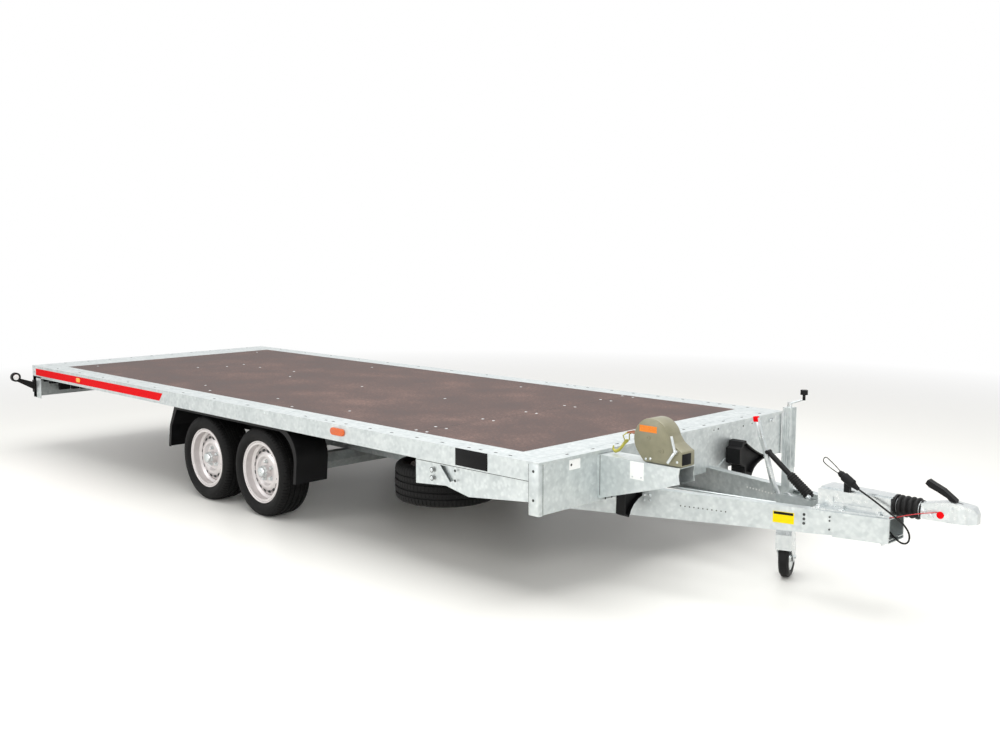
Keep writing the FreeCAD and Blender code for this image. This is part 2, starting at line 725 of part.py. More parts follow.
def wheel_rim():
    """Steel wheel about its own Z axis, outer side up."""
    barrel = turned(rim_section())
    disc = document.addObject("PartDesign::Body", "Disc")
    outline = sketch_on(disc, "XZ_Plane", disc_section())
    revolution = disc.newObject("PartDesign::Revolution", "Turn")
    revolution.Profile = outline
    revolution.ReferenceAxis = (outline, ["V_Axis"])
    revolution.Angle = 360
    disc.Tip = revolution
    half = "vent_size / 2"
    hole = [(f"vent_radius - {half}", f"0 - {half}"), (f"vent_radius + {half}", f"0 - {half}"),
            (f"vent_radius + {half}", half), (f"vent_radius - {half}", half)]
    vent = sketch_on(disc, "XY_Plane", hole)
    pocket = disc.newObject("PartDesign::Pocket", "Vent")
    pocket.Profile = vent
    pocket.SideType = "Symmetric"
    bind(pocket, Length="rim_width")
    disc.Tip = pocket
    pattern = disc.newObject("PartDesign::PolarPattern", "Vents")
    pattern.Originals = [pocket]
    axis = [feature for feature in disc.Origin.OriginFeatures if feature.Role == "Z_Axis"][0]
    pattern.Axis = (axis, [""])
    pattern.Angle = 360
    bind(pattern, Occurrences="vent_count")
    disc.Tip = pattern
    return fuse(barrel, disc)


def wheels():
    """Four road wheels: a tyre on a steel rim, turning on the arms' stub shafts."""
    table = (("front_left", "0", 1), ("front_right", "0", -1),
             ("rear_left", "axle_spacing", 1), ("rear_right", "axle_spacing", -1))
    for label, step, side in table:
        for kind, piece in (("tyre_", turned(tyre_section())), ("rim_", wheel_rim())):
            turn(piece, ("x", -90 * side))
            place(piece, f"{WHEEL_X} - {step}", f"{side} * {WHEEL_Y}", WHEEL_Z)
            keep(kind + label, piece)


def mudguards():
    """Moulded guards, one over each pair of wheels, with an outer lip and an inner wall."""
    front_x, rear_x = f"({WHEEL_X} + guard_front)", f"({WHEEL_X} - axle_spacing - guard_rear)"
    def outline(gap):
        top = f"({RAIL_LOW} - {gap})"
        return [
            (f"{rear_x} + {gap}", "guard_rear_low"), (f"{rear_x} + 23 + {gap}", "guard_rear_low + 139"),
            (f"{rear_x} + 90 + {gap}", top), (f"{front_x} - 135 - {gap}", top),
            (f"{front_x} - {gap}", "guard_front_low + 120", "170", -1), (f"{front_x} - 12 - {gap}", "guard_front_low"),
        ]
    guards = []
    width = "(guard_outer - guard_inner)"
    for side in ("-1", "1"):
        middle = f"{side} * (guard_outer + guard_inner) / 2"
        open_low = [(x, f"{y} - 2") if "low" == y[-3:] else (x, y, *rest)
                    for x, y, *rest in outline("guard_sheet")]
        shell = cut(slab("XZ", outline("0"), width, middle), slab("XZ", open_low, "guard_outer * 2", middle))
        lip = cut(slab("XZ", outline("0"), "guard_sheet", f"{side} * (guard_outer - guard_sheet / 2)"),
                  slab("XZ", [(x, f"{y} - 2") if "low" == y[-3:] else (x, y, *rest)
                              for x, y, *rest in outline("guard_lip")],
                       "guard_sheet * 3", f"{side} * (guard_outer - guard_sheet / 2)"))
        wall = cut(slab("XZ", outline("0"), "guard_sheet", f"{side} * (guard_inner + guard_sheet / 2)"),
                   box("deck_length", "guard_sheet * 4", "guard_wall_low", REAR,
                       f"{side} * guard_inner - guard_sheet * 2", "0"))
        guards.append(fuse(shell, lip, wall))
    keep("mudguards", group(*guards))


def spare_wheel():
    """Spare wheel lying flat under the platform, held up by a cross strap and a bolt."""
    for kind, piece in (("spare_tyre", turned(tyre_section())), ("spare_rim", wheel_rim())):
        turn(piece, ("x", 180))
        place(piece, behind("spare_setback"), "0 - spare_side", "spare_low + tyre_width / 2")
        keep(kind, piece)


def overrun_housing():
    """Cast housing bolted on the beams' front ends, bored for the coupling tube."""
    back, front = ahead("housing_rear"), ahead("housing_front")
    top = "(beam_top + housing_height)"
    def plan(rear_half, front_half):
        return [(back, f"0 - {rear_half}"), (front, f"0 - {front_half}"), (front, front_half), (back, rear_half)]
    block = slab("XY", plan("housing_rear_half", "housing_front_half"), "housing_height", "beam_top + housing_height / 2")
    spine = "(housing_rear_half - 26)"
    end = "(housing_front_half - 20)"
    crown = slab("XY", plan(spine, end), "6", f"{top} + 3")
    run = "(beam_tip_half + beam_slope * (beam_tip - housing_rear) - 10)"
    tip = "(beam_tip_half + beam_slope * (beam_tip - housing_front) - 8)"
    flange = slab("XY", plan(run, tip), "8", "beam_top + 4")
    collar = cylinder("sleeve_radius + 3", "24", ahead("housing_front - 4"), "0", "coupling_height", "x")
    bore = cylinder("tube_radius + deck_gap", "housing_front", ahead("housing_rear + 60"), "0", "coupling_height", "x")
    grooves = []
    for side in ("-1", "1"):
        start = "housing_rear + 70"
        span = "housing_front - housing_rear - 150"
        half = f"(housing_rear_half - (housing_rear_half - housing_front_half) * 70 / (housing_front - housing_rear))"
        depth = "7"
        wedge = [
            (ahead(start), f"{side} * ({half} + 40)"),
            (ahead(start), f"{side} * ({half} - {depth})"),
            (ahead(f"({start}) + {span}"),
             f"{side} * ({half} - {depth} - (housing_rear_half - housing_front_half)"
             f" * ({span}) / (housing_front - housing_rear))"),
            (ahead(f"({start}) + {span}"), f"{side} * ({half} + 40)"),
        ]
        grooves.append(slab("XY", wedge, "26", "beam_top + 44"))
    keep("overrun_housing", cut(fuse(cut(block, *grooves), crown, flange, collar), bore))


def handbrake_bracket():
    """Folded bracket behind the housing that carries the handbrake lever's pivot."""
    back, front = ahead("lever_foot - 45"), ahead("housing_rear")
    outline = [(back, "beam_top - 55"), (front, "beam_top - 55"), (front, "beam_top + 8"), (back, "beam_top + 8")]
    cheeks = [slab("XZ", outline, "head_sheet", f"{side} * (lever_width / 2 + head_sheet / 2 + deck_gap)")
              for side in ("-1", "1")]
    width = "(lever_width + (head_sheet + deck_gap) * 2)"
    floor = box(f"({front}) - ({back})", width, "head_sheet", back, f"0 - {width} / 2", "beam_top - 55 - head_sheet")
    keep("handbrake_bracket", fuse(*cheeks, floor))


def handbrake():
    """Ratchet lever that stands at the beams' apex and the gas strut that pulls it."""
    half = "lever_depth / 2"
    spine = [
        (ahead("lever_foot + 14"), "lever_foot_height - 6"), (ahead("lever_foot - 50"), "lever_foot_height + 52"),
        (ahead("lever_bend"), "lever_bend_height"), (ahead("lever_bend - 37"), "lever_bend_height + 138"),
        (ahead("lever_tip"), "lever_tip_height"),
    ]
    left = [(f"{x} - {half}", z) for x, z in spine]
    right = [(f"{x} + {half}", z) for x, z in reversed(spine)]
    bar = slab("XZ", left + right, "lever_width")
    quadrant = cylinder("36", "lever_width", ahead("lever_foot"), "0 - lever_width / 2", "lever_foot_height + 14", "y")
    keep("handbrake_lever", fuse(bar, quadrant))
    top = (ahead("strut_top"), "0", "strut_top_height")
    middle = (ahead("strut_mid"), "0", "strut_mid_height")
    low = (ahead("strut_end"), "0", "strut_end_height")
    boots = [rod("strut_rod_radius", top, middle)]
    for step in range(6):
        def along(share):
            return tuple(f"({start} + ({end} - {start}) * {share})" for start, end in zip(middle, low))
        boots.append(rod("strut_boot_radius - 3", along(f"{step} / 6"), along(f"({step} + 1) / 6")))
        boots.append(rod("strut_boot_radius", along(f"({step} + 0.2) / 6"), along(f"({step} + 0.7) / 6")))
    boots.append(cylinder("strut_rod_radius * 1.6", "lever_width + 18", top[0], "0 - lever_width / 2 - 9", top[2], "y"))
    beyond = box("housing_front", "deck_width", "beam_top * 2", ahead("housing_rear"), f"0 - {SIDE}", "0")
    cheeks = box("housing_front - housing_rear", "lever_width + (head_sheet + deck_gap) * 2", "beam_top + 8",
                 ahead("lever_foot - 45"), "0 - lever_width / 2 - head_sheet - deck_gap", "0")
    lever = slab("XZ", left + right, "lever_width")
    keep("handbrake_strut", cut(fuse(*boots), beyond, cheeks, lever))


def overrun_parts():
    """Coupling tube, its rubber bellows and the ball coupling head with a spherical socket."""
    start = "housing_rear + 60"
    keep("coupling_tube", cylinder("tube_radius", f"coupling_reach - 150 - ({start})", ahead(start), "0",
                                   "coupling_height", "x"))
    inner = "(sleeve_radius + 3)"
    folds = number("bellows_folds")
    corners = [(inner, "0"), ("bellows_root", "0")]
    for fold in range(int(folds)):
        step = "(bellows_length - 20) / bellows_folds"
        low = f"(10 + {step} * {fold})"
        rise = f"(bellows_radius - {fold})"
        corners += [("bellows_root", low), (rise, f"({low} + {step} * 0.32)"), (rise, f"({low} + {step} * 0.68)")]
    corners += [("bellows_root", "bellows_length - 10"), ("bellows_root", "bellows_length"),
                (inner, "bellows_length")]
    bellows = turned(corners)
    turn(bellows, ("y", 90))
    place(bellows, ahead("housing_front"), "0", "coupling_height")
    keep("overrun_bellows", bellows)

    ball_x = f"({ahead('coupling_reach')} - dome_radius)"
    back = ahead("housing_front + bellows_length")
    plan = [
        (back, "1 - sleeve_radius"), (f"{ball_x} - dome_radius", "1 - sleeve_radius"),
        (f"{ball_x} - 8", "0 - dome_radius"), (f"{ball_x} + 8", "0 - dome_radius"),
        (ahead("coupling_reach"), "0 - dome_radius * 0.45"), (ahead("coupling_reach"), "dome_radius * 0.45"),
        (f"{ball_x} + 8", "dome_radius"), (f"{ball_x} - 8", "dome_radius"),
        (f"{ball_x} - dome_radius", "sleeve_radius - 1"), (back, "sleeve_radius - 1"),
    ]
    side = [
        (back, "coupling_height - 33"), (ahead("coupling_reach - 90"), "coupling_height - 31"),
        (ahead("coupling_reach"), "coupling_height - 22"), (ahead("coupling_reach"), "coupling_height + 20"),
        (ahead("coupling_reach - 18"), "coupling_height + 44"), (ahead("coupling_reach - 100"), "coupling_height + 55"),
        (ahead("coupling_reach - 150"), "coupling_height + 48"), (back, "coupling_height + 33"),
    ]
    shell = common(slab("XY", plan, "deck_height * 2"), slab("XZ", side, "dome_radius * 3"))
    sleeve = cylinder("sleeve_radius + 3", "20", f"{back} - 14", "0", "coupling_height", "x")
    top = "sqrt(ball_radius * ball_radius - 36)"
    socket = turned([("0", "0 - 60"), ("ball_radius", "0 - 60"), ("ball_radius", "0"),
                     ("6", top, "ball_radius", 1), ("0", top)])
    place(socket, ball_x, "0", "coupling_height - 6")
    tube_room = cylinder("tube_radius + deck_gap", f"coupling_reach - 150 + deck_gap - ({start})", ahead(start), "0",
                         "coupling_height", "x")
    slot = box("52", "12", "40", ahead("coupling_reach - 118"), "0 - 6", "coupling_height + 30")
    keep("coupling_head", cut(fuse(shell, sleeve), socket, tube_room, slot))

    half = "7"
    spine = [
        (ahead("coupling_reach - 93"), "coupling_height + 57"), (ahead("coupling_reach - 145"), "coupling_height + 95"),
        (ahead("coupling_reach - 183"), "coupling_height + 112"), (ahead("coupling_reach - 212"), "coupling_height + 126"),
    ]
    outline = [(x, f"{z} + {half}") for x, z in spine] + [
        (ahead("coupling_reach - 222"), "coupling_height + 116"),
        (ahead("coupling_reach - 206"), "coupling_height + 102"), (ahead("coupling_reach - 170"), "coupling_height + 88"),
        (ahead("coupling_reach - 128"), "coupling_height + 68"), (ahead("coupling_reach - 112"), "coupling_height + 52"),
        (ahead("coupling_reach - 84"), "coupling_height + 34"),
    ]
    grip = slab("XZ", outline, "handle_width")
    tongue = box("deck_width", "deck_width", "coupling_height + 56", ahead("coupling_reach - 160"), "0 - deck_width / 2", "0")
    key = slab("XZ", outline, "11.6")
    keep("coupling_handle", fuse(cut(grip, tongue), key))


def jockey_section():
    """Ribbed square cover over the outer tube, and its clamp in the left beam's channel."""
    x, y = ahead("jockey_reach"), "jockey_side"
    def square(width, low, high):
        half = f"({width} / 2)"
        cornered = [(f"{x} - {half}", f"{y} - {half}"), (f"{x} + {half}", f"{y} - {half}"),
                    (f"{x} + {half}", f"{y} + {half}"), (f"{x} - {half}", f"{y} + {half}")]
        return slab("XY", cornered, f"({high}) - ({low})", f"(({high}) + ({low})) / 2")
    cover = square("jockey_cover", "jockey_cover_low", "jockey_top")
    ribs = []
    for offset in ("-0.25", "0", "0.25"):
        for side in ("-1", "1"):
            across = f"{y} + {side} * jockey_cover / 2 - 3"
            ribs.append(box("5", "6", "jockey_top - jockey_cover_low + 2", f"{x} + jockey_cover * ({offset}) - 2.5",
                            across, "jockey_cover_low - 1"))
            along = f"{x} + {side} * jockey_cover / 2 - 3"
            ribs.append(box("6", "5", "jockey_top - jockey_cover_low + 2", along,
                            f"{y} + jockey_cover * ({offset}) - 2.5", "jockey_cover_low - 1"))
    tube = square("jockey_outer", "jockey_bottom", "jockey_cover_low")
    bore = cylinder("jockey_inner_radius + jockey_gap", "jockey_top - 30 - jockey_bottom + 10", x, y, "jockey_bottom - 10")
    keep("jockey_tube", cut(fuse(cut(cover, *ribs), tube), bore))
    near, far = "(jockey_reach - 38)", "(jockey_reach + 38)"
    def web(reach):
        return f"(beam_tip_half + beam_slope * (beam_tip - {reach}) - beam_sheet)"
    plan = [(ahead(near), f"{y} + jockey_outer / 2"), (ahead(far), f"{y} + jockey_outer / 2"),
            (ahead(far), web(far)), (ahead(near), web(near))]
    clamp = slab("XY", plan, "70", "380")
    band = cut(box("jockey_outer + 16", "jockey_outer + 16", "24", f"{x} - jockey_outer / 2 - 8",
                   f"{y} - jockey_outer / 2 - 8", "368"),
               square("jockey_outer", "360", "400"))
    keep("jockey_clamp", fuse(clamp, band))


def jockey_wheel():
    """Jockey leg that winds down, its swivelling fork and the rubber-tyred wheel, turned sideways."""
    x, y = ahead("jockey_reach"), "jockey_side"
    keep("jockey_leg", cylinder("jockey_inner_radius", "jockey_top - 100 - fork_top", x, y, "fork_top"))
    half = "(jockey_wheel_width / 2 + 4)"
    outer = f"({half} + fork_sheet)"
    reach = "jockey_trail"
    profile = [
        ("49", "fork_top - 20"), ("38", "fork_top"), ("0 - 34", "fork_top"), ("0 - 62", "fork_top - 40"),
        (f"0 - {reach} - 24", "jockey_wheel_radius - 16"), (f"0 - {reach} + 16", "jockey_wheel_radius - 24"),
        ("30", "jockey_wheel_radius + 52"), ("49", "jockey_wheel_radius + 52"),
    ]
    cheeks = [slab("XZ", profile, "fork_sheet", f"{side} * ({half} + fork_sheet / 2)") for side in ("-1", "1")]
    crown = box("72", f"{outer} * 2", "fork_sheet", "0 - 34", f"0 - {outer}", "fork_top - fork_sheet")
    front = box("fork_sheet", f"{outer} * 2", "fork_top - jockey_wheel_radius - 72", "44", f"0 - {outer}",
                "jockey_wheel_radius + 52")
    slope = slab("XZ", [("49", "fork_top - 20"), ("38", "fork_top"), ("32", "fork_top"), ("44", "fork_top - 22")],
                 f"{outer} * 2")
    axle = cylinder("8", f"{outer} * 2 + 12", f"0 - {reach}", f"0 - {outer} - 6", "jockey_wheel_radius", "y")
    fork = fuse(*cheeks, crown, front, slope, axle)
    section = [
        ("8 + 0.05", f"0 - jockey_wheel_width / 2"), ("24", "0 - jockey_wheel_width / 2"), ("24", "0 - 14"),
        ("jockey_wheel_radius - 32", "0 - 14"), ("jockey_wheel_radius - 28", "0 - jockey_wheel_width / 2 + 4"),
        ("jockey_wheel_radius - 10", "0 - jockey_wheel_width / 2 + 4"), ("jockey_wheel_radius", "0 - 16"),
        ("jockey_wheel_radius", "16"), ("jockey_wheel_radius - 10", "jockey_wheel_width / 2 - 4"),
        ("jockey_wheel_radius - 28", "jockey_wheel_width / 2 - 4"), ("jockey_wheel_radius - 32", "14"),
        ("24", "14"), ("24", "jockey_wheel_width / 2"), ("8 + 0.05", "jockey_wheel_width / 2"),
    ]
    wheel = turned(section)
    turn(wheel, ("x", -90))
    place(wheel, f"0 - {reach}", "0", "jockey_wheel_radius")
    for label, piece in (("jockey_fork", fork), ("jockey_wheel", wheel)):
        whole = group(piece)
        turn(whole, ("z", number("jockey_swivel")))
        place(whole, x, y, "0")
        keep(label, whole)


def jockey_crank():
    """Crank arm with a knob on the jockey's spindle."""
    x, y = ahead("jockey_reach"), "jockey_side"
    hub = cylinder("11", "24", x, y, "jockey_top")
    knob_x = f"({x} + crank_reach)"
    arm = rod("5", (x, y, "jockey_top + 18"), (knob_x, y, "jockey_top + 18 + crank_height"))
    stem = cylinder("7", "28", knob_x, y, "jockey_top + 14 + crank_height")
    cap = cylinder("17", "22", knob_x, y, "jockey_top + 40 + crank_height")
    keep("jockey_crank", fuse(hub, arm))
    keep("crank_knob", cut(fuse(stem, cap), rod("5", (x, y, "jockey_top + 18"),
                                                 (knob_x, y, "jockey_top + 18 + crank_height"))))


def winch_stand():
    """Folded stand that reaches forward from the front panel and carries the winch."""
    panel = f"({FRONT} - post_sheet)"
    middle = "(0 - stand_side)"
    outline = [
        (panel, "stand_low"), (ahead("stand_reach - 100"), "stand_end_low - 34"),
        (ahead("stand_reach - 40"), "stand_end_low - 12"), (ahead("stand_reach"), "stand_end_low"),
        (ahead("stand_reach - 6"), "stand_end_low + 36"), (ahead("stand_reach"), "stand_top"), (panel, "stand_top"),
    ]
    inside = [(f"{x} - 20" if index == 0 else f"{x} + 60" if index in (3, 4, 5) else x,
               f"{z} + winch_sheet" if index in (0, 1, 2, 3) else
               f"{z} - winch_sheet" if index in (5, 6) else z)
              for index, (x, z) in enumerate(outline)]
    inside[6] = (f"{panel} - 20", "stand_top - winch_sheet")
    shell = cut(slab("XZ", outline, "stand_width", middle),
                slab("XZ", inside, "stand_width - winch_sheet * 2", middle))
    keep("winch_stand", shell)


def winch():
    """Hand winch: painted cover over the strap drum, gearbox and crank socket."""
    middle = "(0 - stand_side)"
    drum_x = ahead("winch_reach")
    foot = "stand_top"
    top = "(stand_top + winch_foot_height)"
    outline = [
        (ahead("winch_foot_rear"), foot), (ahead("winch_foot_front + 40"), foot),
        (ahead("winch_foot_front + 40"), top), (ahead("winch_reach + 120"), f"{top} + 12"),
        (f"{drum_x} + winch_radius * 0.62", "winch_height + winch_radius * 0.72"),
        (f"{drum_x} - winch_radius * 0.9", "winch_height + winch_radius * 0.4357", "winch_radius", 1),
        (f"{drum_x} - winch_radius * 0.9", "winch_height - winch_radius * 0.4357", "winch_radius", 1),
    ]
    cover = slab("XZ", outline, "winch_depth", middle)
    room = cylinder("winch_radius - 5", "winch_depth - winch_sheet * 2", drum_x,
                    f"{middle} - winch_depth / 2 + winch_sheet", "winch_height", "y")
    mouth = box("winch_radius", "winch_depth - winch_sheet * 2", "60", f"{drum_x} - winch_radius * 1.4",
                f"{middle} - winch_depth / 2 + winch_sheet", "winch_height - 12")
    socket = box("40", "34", "34", ahead("winch_foot_front + 5"), f"{middle} - 17", "stand_top + 20")
    keep("winch_cover", cut(cover, room, mouth, socket))
    drum = cylinder("46", "winch_depth - winch_sheet * 2", drum_x,
                    f"{middle} - winch_depth / 2 + winch_sheet", "winch_height", "y")
    strap = box("winch_radius + 56", "50", "3", f"{drum_x} - winch_radius - 56", f"{middle} - 25", "winch_height + 30")
    keep("winch_strap", fuse(drum, strap))
    ring_x = f"({drum_x} - winch_radius - 62)"
    ring = document.addObject("Part::Torus", "Ring")
    bind(ring, Radius1="16", Radius2="3.5")
    turn(ring, ("y", 90), ("z", 90))
    place(ring, f"{ring_x} - 9", middle, "winch_height + 28")
    shank = rod("5", (f"{ring_x} - 20", middle, "winch_height + 14"), (f"{ring_x} - 46", middle, "winch_height - 36"))
    jaw = document.addObject("Part::Torus", "Jaw")
    bind(jaw, Radius1="17", Radius2="6")
    turn(jaw, ("x", 90))
    place(jaw, f"{ring_x} - 56", middle, "winch_height - 52")
    gate = box("40", "14", "12", f"{ring_x} - 48", f"{middle} - 7", "winch_height - 46")
    keep("strap_hook", fuse(cut(ring, box("60", "52", "3", f"{ring_x} + 6", f"{middle} - 26", "winch_height + 30")),
                            shank, cut(jaw, gate)))
    crank_y = f"({middle} - winch_depth / 2)"
    pivot = (ahead("winch_reach + 134"), crank_y, "stand_top + 62")
    pin = cylinder("9", "16", pivot[0], f"{crank_y} - 14", pivot[2], "y")
    upper = rod("6", (pivot[0], f"{crank_y} - 10", pivot[2]), (ahead("winch_reach + 122"), f"{crank_y} - 14", "stand_top + 128"))
    lower = rod("6", (pivot[0], f"{crank_y} - 10", pivot[2]), (ahead("winch_reach + 98"), f"{crank_y} - 14", "stand_top + 12"))
    wall = box("winch_foot_front + 100", "winch_depth", "winch_radius * 4", ahead("0"), crank_y, "stand_top - 20")
    keep("winch_lever", cut(fuse(pin, upper, lower), wall))


def wheel_chocks():
    """Two plastic chocks with concave faces: one clipped to the panel, one under it."""
    panel = f"({FRONT} - post_sheet)"
    near, width = "chock_side", "chock_width"
    left = [
        ("478", "555"), ("500", "560"), ("560", "512"), ("709", "446"), ("640", "405"), ("575", "362"),
        ("556", "366"), ("544", "420"), ("444", "440"), ("440", "520"),
    ]
    clipped = slab("YZ", left, width, f"{panel} + {width} / 2")
    carves = [cylinder("150", f"{width} * 3", f"{panel} - {width}", "700", "592", "x"),
              cylinder("118", f"{width} * 3", f"{panel} - {width}", "436", "352", "x")]
    low = [
        ("300", "432"), ("478", "432"), ("480", "326"), ("446", "312"), ("398", "392"), ("300", "392"),
    ]
    def web(reach):
        return f"(0 - beam_tip_half - beam_slope * (beam_tip - ({reach})))"
    outside = slab("XY", [(ahead("0 - post_sheet"), web("0 - post_sheet")), (ahead("60"), web("60")),
                          (ahead("60"), "0 - 490"), (ahead("0 - post_sheet"), "0 - 490")], "beam_top * 2")
    hung = common(slab("YZ", [(f"0 - {y}", z) for y, z in low], "60", f"{panel} + 31"), outside)
    plate = slab("YZ", [("334", "398"), ("444", "462"), ("470", "450"), ("470", "392"), ("392", "388")], "chock_plate",
                 f"{panel} + chock_plate / 2")
    keep("wheel_chocks", group(cut(clipped, plate, *carves), hung))
    keep("chock_holder", plate)


def lamps():
    """Side markers on the rails, rear lamps in the rear panel and outline lamps on rubber arms."""
    markers = []
    for side in ("-1", "1"):
        outline = [(behind("marker_setback + marker_length / 2"), f"deck_height - 39 - marker_height / 2"),
                   (behind("marker_setback - marker_length / 2"), f"deck_height - 39 - marker_height / 2"),
                   (behind("marker_setback - marker_length / 2"), f"deck_height - 39 + marker_height / 2",
                    "marker_height / 2 + 0.5", 1),
                   (behind("marker_setback + marker_length / 2"), f"deck_height - 39 + marker_height / 2")]
        outline[0] += ("marker_height / 2 + 0.5", 1)
        markers.append(slab("XZ", outline, "marker_depth", f"{side} * ({SIDE} + marker_depth / 2)"))
    keep("side_markers", group(*markers))
    rears, arms, pods = [], [], []
    for side in ("-1", "1"):
        y = f"({side} * lamp_side)"
        low = "(deck_height - panel_lip - 36 - lamp_height)"
        body = box("lamp_depth", "lamp_width", "lamp_height", f"{REAR} + 1", f"{y} - lamp_width / 2", low)
        rim = box("post_sheet - 1", "lamp_width + 16", "lamp_height + 16", f"{REAR} + 1",
                  f"{y} - lamp_width / 2 - 8", f"{low} - 8")
        rears.append(fuse(body, rim))
        x = f"({REAR} + 30)"
        root = f"({side} * {SIDE})"
        elbow = f"({side} * ({SIDE} + arm_reach - 28))"
        tip = f"({side} * ({SIDE} + arm_reach - 28))"
        foot = f"({PANEL_LOW} + 30)"
        near = f"({root} + {side} * 4)"
        slope = [(near, f"{foot} + 24"), (near, f"{foot} + 82"), (elbow, f"{foot} + arm_rise - 12"),
                 (elbow, f"{foot} + arm_rise - 38")]
        arms.append(fuse(
            box("34", "12", "90", f"{x} - 17", root if side == "1" else f"{root} - 12", f"{foot} + 8"),
            slab("YZ", slope, "20", x)))
        pods.append(cylinder("arm_lamp_radius", "30", f"{x} - 15", tip, f"{foot} + arm_rise - 10", "x"))
    keep("rear_lamps", group(*rears))
    joined = group(*arms)
    keep("lamp_arms", cut(joined, group(*[cylinder("arm_lamp_radius", "30", f"{REAR} + 15",
                          f"({side} * ({SIDE} + arm_reach - 28))", f"{PANEL_LOW} + arm_rise + 20", "x")
                          for side in ("-1", "1")])))
    keep("arm_lamps", group(*pods))


def spare_carrier():
    """Cross strap under the spare wheel and the bolt that hangs it from the member above."""
    x, y = behind("spare_setback"), "(0 - spare_side)"
    low = "(spare_low + tyre_width / 2 - disc_offset - rim_sheet - hub_length)"
    bar_low = f"({RAIL_LOW} + sheet - 20)"
    bar = box("seam_setback - nose_member_setback + cross_width", "40", "20",
              behind("seam_setback + cross_width / 2"), f"{y} - 20", bar_low)
    stem = cylinder("8", f"{bar_low} - {low}", x, y, low)
    washer = cylinder("30", "6", x, y, f"{low} - 6")
    keep("spare_carrier", fuse(bar, stem, washer))


def brake_rod():
    """Brake rod from the lever's foot to the compensator on the front axle."""
    axle_front = f"({WHEEL_X} + axle_lead + axle_flats / 2 / 0.8660254)"
    start = (ahead("lever_foot - 45"), "0", "beam_top - 40")
    end = (f"{axle_front} + 30", "0", "axle_height")
    plate = box("30", "150", "8", axle_front, "0 - 75", "axle_height - 4")
    keep("brake_rod", fuse(rod("rod_radius", start, end), plate))


def cord_path(points):
    """Straight runs joined by tangent arcs, as one wire through the given corners."""
    corners = [FreeCAD.Vector(*[number(text) for text in point]) for point in points]
    edges, start = [], corners[0]
    for before, corner, after in zip(corners, corners[1:], corners[2:]):
        inward, outward = (before - corner), (after - corner)
        trim = 0.45 * min(inward.Length, outward.Length)
        inward.normalize()
        outward.normalize()
        first, last = corner + inward * trim, corner + outward * trim
        half = inward.getAngle(outward) / 2
        bisector = (inward + outward).normalize()
        radius = trim * math.tan(half)
        centre = corner + bisector * (trim / math.cos(half))
        middle = centre - bisector * radius
        edges += [Part.makeLine(start, first), Part.Arc(first, middle, last).toShape()]
        start = last
    edges.append(Part.makeLine(start, corners[-1]))
    return Part.Wire(edges)


def cord(label, points, radius):
    """A flexible cord as a round tube swept along its path."""
    wire = cord_path(points)
    first = wire.Edges[0]
    heading = first.tangentAt(first.FirstParameter)
    circle = Part.Circle(first.valueAt(first.FirstParameter), heading, number(radius))
    piece = document.addObject("Part::Feature", "Cord")
    piece.Shape = wire.makePipeShell([Part.Wire([circle.toShape()])], True, True)
    print("cord", label, "radius", number(radius))
    return keep(label, piece)


def cables():
    """Breakaway cable, lighting cable and its parked plug at the drawbar's front."""
    def spot(reach, y, z):
        return (ahead(reach), str(y), str(z))
    cord("breakaway_cable", [
        spot("1145", -56, 439), spot("1175", -62, 446), spot("1210", -66, 461), spot("1260", -64, 477),
        spot("1305", -54, 488), spot("1338", "0 - sleeve_radius - 1.9", 492),
    ], "wire_radius")
    cord("lighting_cable", [
        spot("1085", 0, "beam_top - 0.8"), spot("1092", -2, 392), spot("1135", -8, 352), spot("1188", -30, 327),
        spot("1232", -58, 345), spot("1246", -80, 392), spot("1215", -88, 436), spot("1165", -87, 463),
        spot("1115", -84, 490), spot("1062", -80, 518), spot("1008", -75, 542.6),
    ], "cable_radius")
    along = (-0.8417, 0.0434, 0.5380)
    across = (0.5380, 0, 0.8417)
    def beyond(reach, side):
        steps = [reach * first + side * second for first, second in zip(along, across)]
        return (ahead(f"1007 + {steps[0]:.2f}"), f"{-75 + steps[1]:.2f}", f"{543 + steps[2]:.2f}")
    cord("plug_loop", [
        beyond(112, -7), beyond(140, -11), beyond(172, -14), beyond(204, -13), beyond(205, 14),
        beyond(172, 13), beyond(140, 11), beyond(112, 7),
    ], "wire_radius")
    plug = turned([("0", "0"), ("8", "0"), ("13", "26"), ("plug_radius", "34"), ("plug_radius", "84"),
                   ("15", "90"), ("15", "100"), ("10", "112"), ("0", "112")])
    direction = FreeCAD.Vector(*along)
    plug.Placement = FreeCAD.Placement(FreeCAD.Vector(), FreeCAD.Rotation(FreeCAD.Vector(0, 0, 1), direction))
    place(plug, ahead("1007"), "0 - 75", "543")
    clip = box("26", "20", "50", ahead("938"), "0 - 74", "beam_top + housing_height")
    keep("cable_plug", fuse(plug, clip))


build = (deck_panels, side_rails, end_rails, corner_posts, side_skirts, cross_members, drawbar_beams,
         beam_brackets, drawbar_head, axles, wheels, mudguards, spare_wheel, spare_carrier, overrun_housing,
         overrun_parts, handbrake_bracket, handbrake, jockey_section, jockey_wheel, jockey_crank, winch_stand, winch,
         wheel_chocks, lamps, brake_rod, cables)
for make in build:
    make()

document.recompute()
failed = [thing.Name for thing in document.Objects
          if "Invalid" in thing.State or "Error" in thing.State]
if failed:
    raise RuntimeError("these objects failed: " + ", ".join(failed))
for thing in NODES:
    if thing.Shape.isNull() or not thing.Shape.isValid():
        raise RuntimeError("this sub-part's shape is not sound: " + thing.Label)
os.makedirs("parts", exist_ok=True)
for thing in NODES:
    thing.Shape.exportStep("parts/" + thing.Label + ".step")
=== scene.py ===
import json
import math

import bmesh
import bpy
from mathutils import Matrix, Vector


